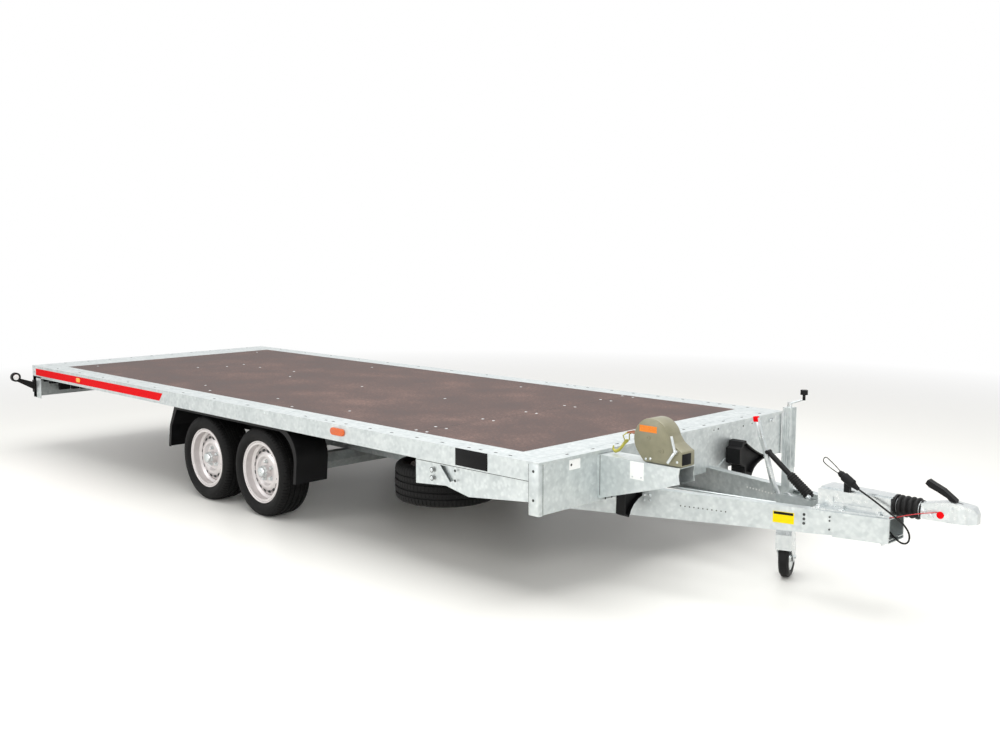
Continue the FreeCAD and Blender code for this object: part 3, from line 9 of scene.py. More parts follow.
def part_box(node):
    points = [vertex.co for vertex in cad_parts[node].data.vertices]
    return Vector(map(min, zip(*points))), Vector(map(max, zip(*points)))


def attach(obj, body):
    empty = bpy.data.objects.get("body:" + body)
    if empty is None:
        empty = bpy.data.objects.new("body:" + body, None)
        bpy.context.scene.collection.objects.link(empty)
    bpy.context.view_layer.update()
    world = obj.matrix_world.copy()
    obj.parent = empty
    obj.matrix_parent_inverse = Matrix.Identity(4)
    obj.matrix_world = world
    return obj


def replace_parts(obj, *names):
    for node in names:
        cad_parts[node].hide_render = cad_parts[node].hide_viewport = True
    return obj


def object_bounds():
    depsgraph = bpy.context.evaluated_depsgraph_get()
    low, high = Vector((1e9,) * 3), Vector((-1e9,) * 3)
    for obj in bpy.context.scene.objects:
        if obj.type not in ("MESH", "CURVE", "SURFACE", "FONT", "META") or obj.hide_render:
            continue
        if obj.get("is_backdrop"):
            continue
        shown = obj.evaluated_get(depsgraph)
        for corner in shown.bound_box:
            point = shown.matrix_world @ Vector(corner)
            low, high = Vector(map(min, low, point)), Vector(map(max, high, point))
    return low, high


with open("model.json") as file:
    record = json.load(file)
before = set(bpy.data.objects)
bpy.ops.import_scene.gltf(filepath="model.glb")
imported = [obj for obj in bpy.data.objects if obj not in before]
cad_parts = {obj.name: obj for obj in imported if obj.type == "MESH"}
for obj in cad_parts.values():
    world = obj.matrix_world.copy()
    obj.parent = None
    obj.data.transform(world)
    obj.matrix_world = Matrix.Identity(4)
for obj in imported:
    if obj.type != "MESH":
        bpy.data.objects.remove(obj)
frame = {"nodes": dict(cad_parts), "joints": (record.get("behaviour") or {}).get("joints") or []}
cad_box = [list(corner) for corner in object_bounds()]


# Studio: a pale seamless floor that fades to a white backdrop, wide soft lamps overhead
# and a camera at a standing photographer's height, off the trailer's right front corner.
def linear(hex_colour):
    """sRGB hex to the linear values that a shader socket takes."""
    channels = [int(hex_colour[start:start + 2], 16) / 255 for start in (1, 3, 5)]
    return [c / 12.92 if c <= 0.04045 else ((c + 0.055) / 1.055) ** 2.4 for c in channels] + [1.0]


def node(tree, kind, inputs=None, **settings):
    """One shader node: settings are its properties, inputs are values or links for its sockets."""
    made = tree.nodes.new("ShaderNode" + kind)
    for name, value in settings.items():
        setattr(made, name, value)
    for name, value in (inputs or {}).items():
        if isinstance(value, bpy.types.NodeSocket):
            tree.links.new(value, made.inputs[name])
        else:
            made.inputs[name].default_value = value
    return made


def ramp(tree, source, *stops):
    """Colours along a value: each stop is (place, hex)."""
    made = node(tree, "ValToRGB", {"Fac": source})
    elements = made.color_ramp.elements
    while len(elements) < len(stops):
        elements.new(0.5)
    for element, (place, colour) in zip(elements, stops):
        element.position = place
        element.color = linear(colour)
    return made.outputs["Color"]


def new_material(name):
    made = bpy.data.materials.new(name)
    made.use_nodes = True
    made.node_tree.nodes.clear()
    return made, made.node_tree


def finish_surface(tree, shader):
    node(tree, "OutputMaterial", {"Surface": shader})


camera = bpy.data.objects.new("camera", bpy.data.cameras.new("camera"))
camera.data.sensor_width = 36
camera.data.lens = 40.10
camera.data.clip_end = 200
camera.location = (5.065, -4.519, 1.636)
camera.rotation_euler = (math.radians(90 - 7.2029), 0, math.radians(134.5106 - 90))
bpy.context.scene.collection.objects.link(camera)
bpy.context.scene.camera = camera
bpy.context.scene.view_settings.view_transform = "Standard"

floor_mesh = bpy.data.meshes.new("studio_floor")
floor_mesh.from_pydata([(-60, -60, 0), (60, -60, 0), (60, 60, 0), (-60, 60, 0)], [], [(0, 1, 2, 3)])
studio_floor = bpy.data.objects.new("studio_floor", floor_mesh)
bpy.context.scene.collection.objects.link(studio_floor)
floor_material, tree = new_material("pale_studio_vinyl")
place = node(tree, "NewGeometry")
from_middle = node(tree, "VectorMath", {0: place.outputs["Position"], 1: (0.0, 0.0, 0.0)},
                   operation="DISTANCE")
fade = node(tree, "MapRange", {"Value": from_middle.outputs["Value"], "From Min": 4.5, "From Max": 9.0})
seen = node(tree, "LightPath")
shown = node(tree, "Math", {0: seen.outputs["Is Camera Ray"], 1: seen.outputs["Is Glossy Ray"]},
             operation="MAXIMUM")
whiten = node(tree, "Math", {0: fade.outputs["Result"], 1: shown.outputs["Value"]}, operation="MULTIPLY")
vinyl = node(tree, "BsdfPrincipled", {"Base Color": linear("#F4F3EE"), "Roughness": 0.42})
white = node(tree, "Emission", {"Color": (1, 1, 1, 1), "Strength": 1.0})
mixed = node(tree, "MixShader", {0: whiten.outputs["Value"], 1: vinyl.outputs["BSDF"],
                                 2: white.outputs["Emission"]})
finish_surface(tree, mixed.outputs["Shader"])
floor_mesh.materials.append(floor_material)
studio_floor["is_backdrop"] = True

world = bpy.data.worlds.new("studio_white")
world.use_nodes = True
bpy.context.scene.world = world
world.node_tree.nodes.clear()
tree = world.node_tree
seen = node(tree, "LightPath")
shown = node(tree, "Math", {0: seen.outputs["Is Camera Ray"], 1: seen.outputs["Is Glossy Ray"]},
             operation="MAXIMUM")
glow = node(tree, "MapRange", {"Value": shown.outputs["Value"], "To Min": 0.46, "To Max": 1.0})
backdrop = node(tree, "Background", {"Color": (1, 1, 1, 1), "Strength": glow.outputs["Result"]})
node(tree, "OutputWorld", {"Surface": backdrop.outputs["Background"]})

for name, spot, aim, size, power in (("overhead_softbox", (0.5, 0.0, 6.0), (0.0, 0.0, 0.0), 7.0, 420),
                                     ("front_softbox", (7.5, -5.0, 3.8), (0.8, 0.0, 0.4), 3.5, 270),
                                     ("side_softbox", (-3.5, -8.0, 3.5), (-1.0, 0.0, 0.4), 4.0, 165)):
    lamp = bpy.data.objects.new(name, bpy.data.lights.new(name, "AREA"))
    lamp.data.size = size
    lamp.data.energy = power
    lamp.location = spot
    lamp.rotation_euler = (Vector(aim) - Vector(spot)).to_track_quat("-Z", "Y").to_euler()
    bpy.context.scene.collection.objects.link(lamp)


# Galvanised frame: folded sheet rails, cross members, V drawbar and axles, dipped in molten zinc
# after folding. Hot-dip zinc is a pale bluish grey with soft-edged crystals about 15 mm across.
MM = 0.001  # a millimetre in the scene's metres


def metre_grain(tree, grain):
    """Object coordinates scaled so that one pattern cell measures grain metres."""
    here = node(tree, "TexCoord")
    return node(tree, "Mapping", {"Vector": here.outputs["Object"],
                                  "Scale": (1 / grain,) * 3}).outputs["Vector"]


def dress(material, *names):
    """Give CAD nodes a finish: only their material slots change."""
    for name in names:
        target = frame["nodes"][name]
        target.data.materials.clear()
        target.data.materials.append(material)


def zinc(name, light, dark, rough_low, rough_high, spangle, metal):
    made, tree = new_material(name)
    crystals = node(tree, "TexVoronoi", {"Vector": metre_grain(tree, spangle), "Scale": 1.0,
                                         "Randomness": 1.0}, feature="SMOOTH_F1")
    cloud = node(tree, "TexNoise", {"Vector": metre_grain(tree, 90 * MM), "Scale": 1.0, "Detail": 5.0})
    tone = node(tree, "MixRGB", {"Fac": 0.62, "Color1": crystals.outputs["Color"],
                                 "Color2": cloud.outputs["Color"]})
    level = node(tree, "RGBToBW", {"Color": tone.outputs["Color"]})
    colour = ramp(tree, level.outputs["Val"], (0.2, dark), (0.8, light))
    rough = node(tree, "MapRange", {"Value": level.outputs["Val"], "From Min": 0.2, "From Max": 0.8,
                                    "To Min": rough_high, "To Max": rough_low})
    grit = node(tree, "TexNoise", {"Vector": metre_grain(tree, 3 * MM), "Scale": 1.0, "Detail": 3.0})
    bump = node(tree, "Bump", {"Height": grit.outputs["Fac"], "Strength": 0.08, "Distance": 0.4 * MM})
    surface = node(tree, "BsdfPrincipled", {"Base Color": colour, "Metallic": metal,
                                            "Roughness": rough.outputs["Result"],
                                            "Normal": bump.outputs["Normal"]})
    finish_surface(tree, surface.outputs["BSDF"])
    return made


galvanised = zinc("hot_dip_galvanised", "#DFE4E3", "#B4BBBC", 0.34, 0.50, 16 * MM, 0.8)
dress(galvanised, "side_rail_left", "side_rail_right", "front_rail", "rear_rail", "corner_posts",
      "side_skirts", "cross_members", "beam_brackets", "drawbar_beam_left", "drawbar_beam_right",
      "drawbar_head", "axle_front", "axle_rear", "spare_carrier", "winch_stand", "jockey_clamp",
      "jockey_tube", "chock_holder", "handbrake_bracket", "brake_rod")
bright_zinc = zinc("bright_zinc_plating", "#E6E9E8", "#BCC2C4", 0.22, 0.36, 14 * MM, 0.9)
dress(bright_zinc, "overrun_housing", "coupling_tube", "handbrake_lever", "jockey_leg", "jockey_fork",
      "jockey_crank", "winch_lever", "coupling_head")


# Deck: two sheets of brown film-faced birch plywood laid in the frame. The phenolic film is pressed with a
# wire mesh, so it is satin and mottled, and dusty grey at a low angle. The real mesh and grit measure about
# 2 mm; they are drawn at 6 and 14 mm so that they show.
def film_faced_plywood():
    made, tree = new_material("film_faced_plywood")
    cloud = node(tree, "TexNoise", {"Vector": metre_grain(tree, 350 * MM), "Scale": 1.0, "Detail": 6.0,
                                    "Roughness": 0.6})
    speck = node(tree, "TexNoise", {"Vector": metre_grain(tree, 14 * MM), "Scale": 1.0, "Detail": 5.0,
                                    "Roughness": 0.7})
    blend = node(tree, "MixRGB", {"Fac": 0.62, "Color1": cloud.outputs["Color"],
                                  "Color2": speck.outputs["Color"]})
    level = node(tree, "RGBToBW", {"Color": blend.outputs["Color"]})
    film = ramp(tree, level.outputs["Val"], (0.38, "#2A1A16"), (0.5, "#452F29"), (0.63, "#7C6056"))
    mesh = node(tree, "TexVoronoi", {"Vector": metre_grain(tree, 6 * MM), "Scale": 1.0},
                feature="DISTANCE_TO_EDGE")
    press = node(tree, "Bump", {"Height": mesh.outputs["Distance"], "Strength": 0.35, "Distance": 0.5 * MM})
    rough = node(tree, "MapRange", {"Value": level.outputs["Val"], "From Min": 0.3, "From Max": 0.7,
                                    "To Min": 0.42, "To Max": 0.62})
    surface = node(tree, "BsdfPrincipled", {"Base Color": film, "Roughness": rough.outputs["Result"],
                                            "Specular IOR Level": 0.3, "Normal": press.outputs["Normal"]})
    finish_surface(tree, surface.outputs["BSDF"])
    return made


dress(film_faced_plywood(), "deck_panel_front", "deck_panel_rear")


# Tyres and black mouldings: carbon-black rubber, polypropylene guards and chocks. Rubber is a
# warm near-black with a dull sheen; the mouldings have a fine grained skin.
def black_moulding(name, dark, light, grain, rough, depth):
    made, tree = new_material(name)
    cloud = node(tree, "TexNoise", {"Vector": metre_grain(tree, 60 * MM), "Scale": 1.0, "Detail": 5.0})
    colour = ramp(tree, cloud.outputs["Fac"], (0.3, dark), (0.75, light))
    skin = node(tree, "TexNoise", {"Vector": metre_grain(tree, grain), "Scale": 1.0, "Detail": 2.0})
    bump = node(tree, "Bump", {"Height": skin.outputs["Fac"], "Strength": 0.3, "Distance": depth})
    dulled = node(tree, "MapRange", {"Value": cloud.outputs["Fac"], "From Min": 0.3, "From Max": 0.7,
                                     "To Min": rough - 0.06, "To Max": rough + 0.08})
    surface = node(tree, "BsdfPrincipled", {"Base Color": colour, "Roughness": dulled.outputs["Result"],
                                            "Specular IOR Level": 0.2, "Normal": bump.outputs["Normal"]})
    finish_surface(tree, surface.outputs["BSDF"])
    return made


tyre_rubber = black_moulding("tyre_rubber", "#070707", "#111010", 2 * MM, 0.66, 0.3 * MM)
black_plastic = black_moulding("black_polypropylene", "#09090A", "#111112", 1.5 * MM, 0.48, 0.2 * MM)
black_rubber = black_moulding("black_rubber", "#101010", "#1B1B1B", 2 * MM, 0.5, 0.2 * MM)
dress(tyre_rubber, "tyre_front_left", "tyre_front_right", "tyre_rear_left", "tyre_rear_right", "spare_tyre")
dress(black_plastic, "mudguards", "wheel_chocks", "crank_knob", "coupling_handle", "cable_plug",
      "rear_lamps")
dress(black_rubber, "overrun_bellows", "handbrake_strut", "lamp_arms", "arm_lamps", "jockey_wheel",
      "lighting_cable", "plug_loop")


# Wheels and painted parts: pressed steel, primed and sprayed silver, olive or yellow, with the lenses and
# sheathing that share the same smooth skin. The paint is satin with a faint metal flake.
def sprayed_paint(name, light, dark, metal, rough, flake):
    made, tree = new_material(name)
    cloud = node(tree, "TexNoise", {"Vector": metre_grain(tree, 40 * MM), "Scale": 1.0, "Detail": 5.0})
    fleck = node(tree, "TexNoise", {"Vector": metre_grain(tree, flake), "Scale": 1.0, "Detail": 1.0})
    blend = node(tree, "MixRGB", {"Fac": 0.3, "Color1": cloud.outputs["Color"],
                                  "Color2": fleck.outputs["Color"]})
    level = node(tree, "RGBToBW", {"Color": blend.outputs["Color"]})
    colour = ramp(tree, level.outputs["Val"], (0.3, dark), (0.7, light))
    skin = node(tree, "Bump", {"Height": fleck.outputs["Fac"], "Strength": 0.12, "Distance": 0.1 * MM})
    surface = node(tree, "BsdfPrincipled", {"Base Color": colour, "Metallic": metal, "Roughness": rough,
                                            "Coat Weight": 0.25, "Coat Roughness": 0.15,
                                            "Normal": skin.outputs["Normal"]})
    finish_surface(tree, surface.outputs["BSDF"])
    return made


dress(sprayed_paint("silver_wheel_paint", "#E2DDDC", "#CCC7C6", 0.5, 0.36, 1 * MM), "rim_front_left",
      "rim_front_right", "rim_rear_left", "rim_rear_right", "spare_rim")
winch_paint = sprayed_paint("olive_winch_paint", "#8C886F", "#79765E", 0.1, 0.42, 1 * MM)
dress(winch_paint, "winch_cover")
hook_lacquer = sprayed_paint("hook_lacquer", "#B9B24A", "#8D8A3C", 0.4, 0.4, 1 * MM)
dress(hook_lacquer, "strap_hook")
strap_webbing = sprayed_paint("orange_webbing", "#9A5A34", "#7E4424", 0.0, 0.75, 1 * MM)
dress(strap_webbing, "winch_strap")
dress(sprayed_paint("amber_lens", "#E96A0A", "#B94A05", 0.0, 0.25, 4 * MM), "side_markers")
red_sheath = sprayed_paint("red_sheath", "#C8141E", "#A81018", 0.0, 0.35, 2 * MM)
dress(red_sheath, "breakaway_cable")


# Small hardware: zinc-plated bolts, blind rivets and countersunk deck screws, all turned or cold-headed.
# Their heads are bright. Holes are drawn as thin dark discs of painted shade, because the CAD sheets have
# none there.
def shaded_hole():
    made, tree = new_material("shaded_hole")
    inside = node(tree, "TexNoise", {"Vector": metre_grain(tree, 5 * MM), "Scale": 1.0})
    colour = ramp(tree, inside.outputs["Fac"], (0.3, "#2E302F"), (0.8, "#4A4D4C"))
    surface = node(tree, "BsdfPrincipled", {"Base Color": colour, "Roughness": 0.8})
    finish_surface(tree, surface.outputs["BSDF"])
    return made


hole_dark = shaded_hole()


def facing_side(y, x0, x1, z0, z1):
    """Corners of an upright rectangle along the trailer."""
    return [(x0, y, z0), (x1, y, z0), (x1, y, z1), (x0, y, z1)]


def facing_front(x, y0, y1, z0, z1):
    """Corners of an upright rectangle across the trailer."""
    return [(x, y0, z0), (x, y1, z0), (x, y1, z1), (x, y0, z1)]


def facing_up(z, x0, x1, y0, y1):
    """Corners of a level rectangle."""
    return [(x0, y0, z), (x1, y0, z), (x1, y1, z), (x0, y1, z)]


def disc(radius, height):
    """Profile of a plain round pin or hole, from its foot up."""
    return [(radius, 0), (radius, height), (0, height)]


def turn_round(mesh, centre, axis, profile, sides):
    """A profile of (radius, height) pairs turned about an axis; six sides make a hexagon head."""
    axis = Vector(axis).normalized()
    across = axis.orthogonal().normalized()
    beside = axis.cross(across)
    rings = []
    for radius, height in profile:
        middle = Vector(centre) + axis * height
        if radius < 1e-6:
            rings.append([mesh.verts.new(middle)])
            continue
        rings.append([mesh.verts.new(middle + (across * math.cos(a) + beside * math.sin(a)) * radius)
                      for a in (2 * math.pi * step / sides for step in range(sides))])
    for low, high in zip(rings, rings[1:]):
        for step in range(sides):
            following = (step + 1) % sides
            if len(low) == 1 and len(high) == 1:
                continue
            if len(low) == 1:
                mesh.faces.new((low[0], high[following], high[step]))
            elif len(high) == 1:
                mesh.faces.new((low[step], low[following], high[0]))
            else:
                mesh.faces.new((low[step], low[following], high[following], high[step]))
    for ring, order in ((rings[0], -1), (rings[-1], 1)):
        if len(ring) > 2:
            mesh.faces.new(ring[::order])


def plate(mesh, corners, depth, rounded=0.0):
    """A flat outline of 3-D corners given a thickness, with its edges eased."""
    low = [mesh.verts.new(corner) for corner in corners]
    high = [mesh.verts.new(Vector(corner) + Vector(depth)) for corner in corners]
    faces = [mesh.faces.new(low[::-1]), mesh.faces.new(high)]
    for step in range(len(low)):
        following = (step + 1) % len(low)
        faces.append(mesh.faces.new((low[step], low[following], high[following], high[step])))
    bmesh.ops.recalc_face_normals(mesh, faces=faces)
    if rounded:
        edges = list(dict.fromkeys(edge for face in faces for edge in face.edges))
        bmesh.ops.bevel(mesh, geom=edges, offset=rounded, segments=2, profile=0.5, affect="EDGES")


def set_in_place(name, mesh, material, body="chassis", sharp=35):
    """Turn a finished bmesh into a piece that rides on a body."""
    bmesh.ops.recalc_face_normals(mesh, faces=mesh.faces[:])
    data = bpy.data.meshes.new(name)
    mesh.to_mesh(data)
    mesh.free()
    data.materials.append(material)
    data.shade_smooth()
    data.set_sharp_from_angle(angle=math.radians(sharp))
    piece = bpy.data.objects.new(name, data)
    bpy.context.scene.collection.objects.link(piece)
    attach(piece, body)
    return piece


def hex_bolt(mesh, centre, axis, across, height):
    """Washer and hexagon head, sizes in millimetres."""
    r, h = across * MM / 2, height * MM
    turn_round(mesh, centre, axis, [(r * 1.7, 0), (r * 1.7, h * 0.3), (r * 1.6, h * 0.36)], 20)
    lift = Vector(centre) + Vector(axis).normalized() * h * 0.34
    turn_round(mesh, lift, axis, [(r * 1.15, 0), (r * 1.15, h * 0.85), (r * 0.95, h)], 6)


def rivet(mesh, centre, axis, radius):
    """A low domed head, its radius in millimetres."""
    r = radius * MM
    turn_round(mesh, centre, axis, [(r, 0), (r * 0.96, r * 0.22), (r * 0.7, r * 0.42), (r * 0.3, r * 0.5),
                                    (0, r * 0.51)], 16)


# Outer faces of the corner posts, the rails and the deck.
FRONT, REAR, SIDE, TOP = 1.860, -3.355, 1.019, 0.650
PANEL = FRONT - 0.005  # the front panel's face, behind the posts
screws = bmesh.new()
spots = [(-2.324, -0.215), (-2.226, -0.029), (-2.247, 0.132), (-1.995, 0.109), (-1.391, -0.044),
         (-1.610, 0.143), (-0.625, -0.015), (0.156, 0.0), (-1.166, -0.810), (-0.564, -0.708),
         (-0.240, -0.833)]
for x in (0.852, 0.933):
    spots += [(x, y) for y in (-0.840, -0.707, -0.365, -0.027, 0.300, 0.628, 0.840)]
for x in (0.125, -1.405, -2.935):
    spots += [(x, y) for y in (-0.700, 0.700)]
for x, y in spots:
    turn_round(screws, (x, y, TOP), (0, 0, 1), [(0.0085, 0), (0.0082, 0.0007), (0.006, 0.0012),
                                                (0.0028, 0.0013), (0.002, 0.0004), (0, 0.0004)], 16)
set_in_place("deck_screws", screws, bright_zinc)

rivets, shades = bmesh.new(), bmesh.new()
for side in (-1, 1):
    for x in (-0.239, -0.209):
        rivet(rivets, (x, side * SIDE, 0.631), (0, side, 0), 5)
    rivet(rivets, (-1.33, side * SIDE, 0.632), (0, side, 0), 5)
    # A dark disc a little wider than each bolt's washer is painted shade round the head.
    for z in (0.518, 0.478):
        turn_round(shades, (1.165, side * SIDE, z), (0, side, 0), disc(0.0135, 0.0004), 20)
        hex_bolt(rivets, (1.165, side * SIDE, z), (0, side, 0), 12, 5)
    for x, z in ((1.330, 0.538), (1.330, 0.490), (1.829, 0.480), (1.829, 0.610)):
        turn_round(shades, (x, side * SIDE, z), (0, side, 0), disc(0.0065, 0.0022), 16)
    for z in (0.610, 0.480):
        hex_bolt(rivets, (-3.325, side * SIDE, z), (0, side, 0), 10, 4)
for y in (-0.870, -0.430, -0.150, 0.150, 0.300, 0.560, 0.800, 0.930):
    rivet(rivets, (PANEL, y, 0.600), (1, 0, 0), 5)
for y in (-0.560, -0.540):
    rivet(rivets, (PANEL, y - 0.09, 0.50), (1, 0, 0), 4)
set_in_place("frame_fasteners", rivets, bright_zinc)
for y, z, radius in ((0.373, 0.627, 5), (0.333, 0.625, 4), (0.613, 0.613, 5), (0.700, 0.616, 4),
                     (0.780, 0.618, 4), (0.845, 0.640, 5)):
    turn_round(shades, (PANEL, y, z), (1, 0, 0), disc(radius * MM, 0.0006), 16)
set_in_place("fastener_shade", shades, hole_dark)
latch = bmesh.new()
plate(latch, facing_front(PANEL, 0.872, 0.922, 0.600, 0.622), (0.005, 0, 0), 0.001)
turn_round(latch, (FRONT, 0.897, 0.611), (1, 0, 0), [(0.010, 0), (0.010, 0.008), (0.007, 0.010),
                                                     (0, 0.010)], 20)
set_in_place("panel_latch", latch, bright_zinc)


# Corner posts and rail lips: folded angles wrap each corner, a thin dark strip of painted shadow lies under
# the rails' lower edge on the skirts and along each post's edges, and a plain plate closes the triangular
# opening of each skirt from inside.
posts, shadow_strips, gussets = (bmesh.new() for kind in range(3))
for side in (-1, 1):
    face = side * SIDE
    out = (0, side * 0.0012, 0)
    plate(posts, facing_side(face, 1.801, 1.8605, 0.411, 0.641), out, 0.0004)
    plate(posts, facing_front(1.8600, face, side * 0.994, 0.411, 0.641), (0.0012, 0, 0), 0.0004)
    plate(posts, [(-3.350, face, 0.408), (-3.222, face, 0.408), (-3.212, face, 0.572),
                  (-3.350, face, 0.572)], (0, side * -0.0020, 0), 0.0005)
    # Thin dark strips of painted shadow under the rail's lower edge and along each post's edges.
    plate(shadow_strips, [(1.050, face, 0.5540), (1.800, face, 0.5600), (1.800, face, 0.5625),
                  (1.050, face, 0.5565)], (0, side * 0.0004, 0))
    plate(shadow_strips, facing_front(1.8605, side * 0.993, side * 0.9905, 0.412, 0.640), (0.0004, 0, 0))
    plate(shadow_strips, facing_side(face, 1.7985, 1.8005, 0.412, 0.640), (0, side * 0.0004, 0))
    plate(gussets, facing_side(side * 0.992, 1.185, 1.330, 0.450, 0.560), (0, side * -0.003, 0), 0.0006)
set_in_place("post_angles", posts, galvanised)
set_in_place("painted_edge_shadows", shadow_strips, hole_dark)
set_in_place("skirt_gussets", gussets, galvanised)


# Deck border: the rails' top flanges fold inward over the plywood's edges as flat galvanised strips.
# A dark joint 2 mm wide shows where the two sheets meet.
strips, joint = bmesh.new(), bmesh.new()
for side in (-1, 1):
    inner, outer = side * 0.878, side * 0.9295
    plate(strips, facing_up(TOP, -3.285, 1.790, inner, outer), (0, 0, 0.0008))
for start, end in ((1.635, 1.790), (-3.285, -3.055)):
    plate(strips, facing_up(TOP, start, end, -0.878, 0.878), (0, 0, 0.0008))
plate(joint, facing_up(TOP, 0.889, 0.891, -0.878, 0.878), (0, 0, 0.0002))
set_in_place("deck_border", strips, galvanised)
set_in_place("sheet_joint", joint, hole_dark)


# Punched slots in the top flanges, where the tie-down rings clip in. They are plain ovals
# 27 by 15 mm, punched before galvanising, so each has a lighter zinc lip round a dark oval of painted
# shade.
def oval(centre, along, across, half_length, half_width):
    """Corners of a flat oval with straight sides."""
    centre, along, across = Vector(centre), Vector(along), Vector(across)
    straight = half_length - half_width
    corners = []
    for step in range(16):
        angle = math.pi * 2 * (step + 0.5) / 16
        shift = straight if math.cos(angle) > 0 else -straight
        aside = across * math.sin(angle) * half_width
        corners.append(centre + along * (shift + math.cos(angle) * half_width) + aside)
    return corners


slots, lips = bmesh.new(), bmesh.new()
along_rail = (-0.836, 0.097, 0.282, 0.346, 0.455, 0.656, 0.826, 1.016, 1.200, 1.383, 1.461, 1.560, 1.651,
              -1.200, -1.560, -1.920, -2.280, -2.640, -3.000, -0.470)
for side in (-1, 1):
    for x in along_rail:
        plate(lips, oval((x, side * 0.980, TOP), (1, 0, 0), (0, 1, 0), 0.0135, 0.0075), (0, 0, 0.0006))
        plate(slots, oval((x, side * 0.980, TOP + 0.0006), (1, 0, 0), (0, 1, 0), 0.0115, 0.0055),
              (0, 0, 0.0002))
for y in (-0.78, -0.60, -0.42, -0.24, -0.06, 0.12, 0.30, 0.48, 0.66, 0.84):
    for x in (FRONT - 0.045, REAR + 0.045):
        plate(lips, oval((x, y, TOP), (0, 1, 0), (1, 0, 0), 0.0135, 0.0075), (0, 0, 0.0006))
        plate(slots, oval((x, y, TOP + 0.0006), (0, 1, 0), (1, 0, 0), 0.0115, 0.0055), (0, 0, 0.0002))
set_in_place("rail_slot_lips", lips, bright_zinc)
set_in_place("rail_slots", slots, hole_dark)


# Side bands and plates: retroreflective red tape along the rear of each rail, a blank black sign plate,
# blank white paper labels and a yellow one. Vinyl film with a faint prism pattern; the real prisms measure
# 3 mm and are drawn at 4 or 5 mm so that they show.
def vinyl_film(name, light, dark, cell, rough):
    made, tree = new_material(name)
    prisms = node(tree, "TexVoronoi", {"Vector": metre_grain(tree, cell), "Scale": 1.0},
                  feature="DISTANCE_TO_EDGE")
    colour = ramp(tree, prisms.outputs["Distance"], (0.02, dark), (0.12, light))
    surface = node(tree, "BsdfPrincipled", {"Base Color": colour, "Roughness": rough,
                                            "Specular IOR Level": 0.08})
    finish_surface(tree, surface.outputs["BSDF"])
    return made


red_tape = vinyl_film("red_reflective_tape", "#E60410", "#D0030C", 5 * MM, 0.55)
black_vinyl = vinyl_film("black_vinyl", "#161617", "#1D1D1F", 4 * MM, 0.35)
white_label_and_painted_light = vinyl_film("white_label_and_painted_light", "#F2F3F1", "#E6E8E6", 4 * MM, 0.5)
yellow_label = vinyl_film("yellow_label", "#F2DA12", "#E2C90E", 4 * MM, 0.4)
bands, signs, papers = (bmesh.new() for kind in range(3))
for side in (-1, 1):
    face = side * SIDE
    out = (0, side * 0.0006, 0)
    plate(bands, [(-3.296, face, 0.579), (-1.433, face, 0.579), (-1.390, face, 0.630),
                  (-3.296, face, 0.630)], out)
plate(signs, facing_side(-SIDE, 1.332, 1.544, 0.5665, 0.6485), (0, -0.0015, 0), 0.0004)
plate(papers, facing_front(PANEL, -0.812, -0.736, 0.587, 0.633), (0.0006, 0, 0))
turn_round(signs, (FRONT - 0.0045, -0.798, 0.610), (1, 0, 0), disc(0.006, 0.0004), 16)
reflector = bmesh.new()
for side in (-1, 1):
    plate(reflector, oval((-2.583, side * (SIDE + 0.0006), 0.606), (1, 0, 0), (0, 0, 1), 0.030, 0.016),
          (0, side * 0.003, 0), 0.0008)
# The band reflectors keep the frame's own plain amber, which is lighter than the dressed one above.
set_in_place("band_reflectors", reflector, bpy.data.materials["amber_lens"])
for name, mesh, film, slot in (("side_bands", bands, red_tape, "red_plastic"),
                               ("sign_plate", signs, black_vinyl, "black_plastic"),
                               ("paper_labels", papers, white_label_and_painted_light, "white_lens")):
    set_in_place(name, mesh, film)


# Drawbar fittings: the web of each beam carries rows of punched holes, bolts at the cradle joint,
# and on the right a blank yellow label with a black header. The holes are dark discs of painted shade on
# the outer faces, and pale discs of painted light on the inner faces, where the white beyond shows through.
BEAM_SLOPE, BEAM_TIP_X, BEAM_TIP_Y = 0.2298, 3.010, 0.070


def on_beam(x, z, side, off=0.0):
    """A point on a beam's outer face, off metres out from it."""
    length = math.hypot(1, BEAM_SLOPE)
    y = BEAM_TIP_Y + BEAM_SLOPE * (BEAM_TIP_X - x)
    return (x + off * BEAM_SLOPE / length, side * (y + off / length), z)


def beam_out(side):
    return Vector((BEAM_SLOPE, side, 0)).normalized()


bolts, holes, painted_light_holes = (bmesh.new() for kind in range(3))
for side in (-1, 1):
    out = beam_out(side)
    for z in (0.408, 0.388, 0.368):
        turn_round(holes, on_beam(2.655, z, side, 0.0), out, [(0.0065, 0), (0.0065, 0.0012), (0.004, 0.002),
                                                              (0, 0.002)], 14)
    for z in (0.412, 0.395, 0.356):
        turn_round(holes, on_beam(2.765, z, side, 0.004), out, [(0.004, 0), (0.004, 0.001), (0, 0.0012)],
                   12)
    for step in range(11):
        along = 2.088 + 0.0215 * step
        turn_round(holes, on_beam(along, 0.372, side), out, disc(0.0034, 0.0004), 10)
    # On the inner faces the holes are pale discs of painted light, where the white beyond shows through.
    for step in range(9):
        inner = on_beam(2.10 + 0.0203 * step, 0.372, side, -0.0042)
        turn_round(painted_light_holes, inner, -out, disc(0.0045, 0.0006), 10)
    for x in (1.905, 1.935):
        for z in (0.402, 0.378):
            hex_bolt(bolts, on_beam(x, z, side, 0.0), out, 10, 5)
    for x, low in ((2.790, 0.326), (2.975, 0.326)):
        turn_round(bolts, (x, side * 0.052, low), (0, 0, -1), [(0.013, 0), (0.013, 0.002), (0.009, 0.002),
                                                               (0.009, 0.010), (0.005, 0.010),
                                                               (0.005, 0.018), (0, 0.018)], 12)
set_in_place("beam_bolts", bolts, bright_zinc)
set_in_place("beam_holes", holes, hole_dark)
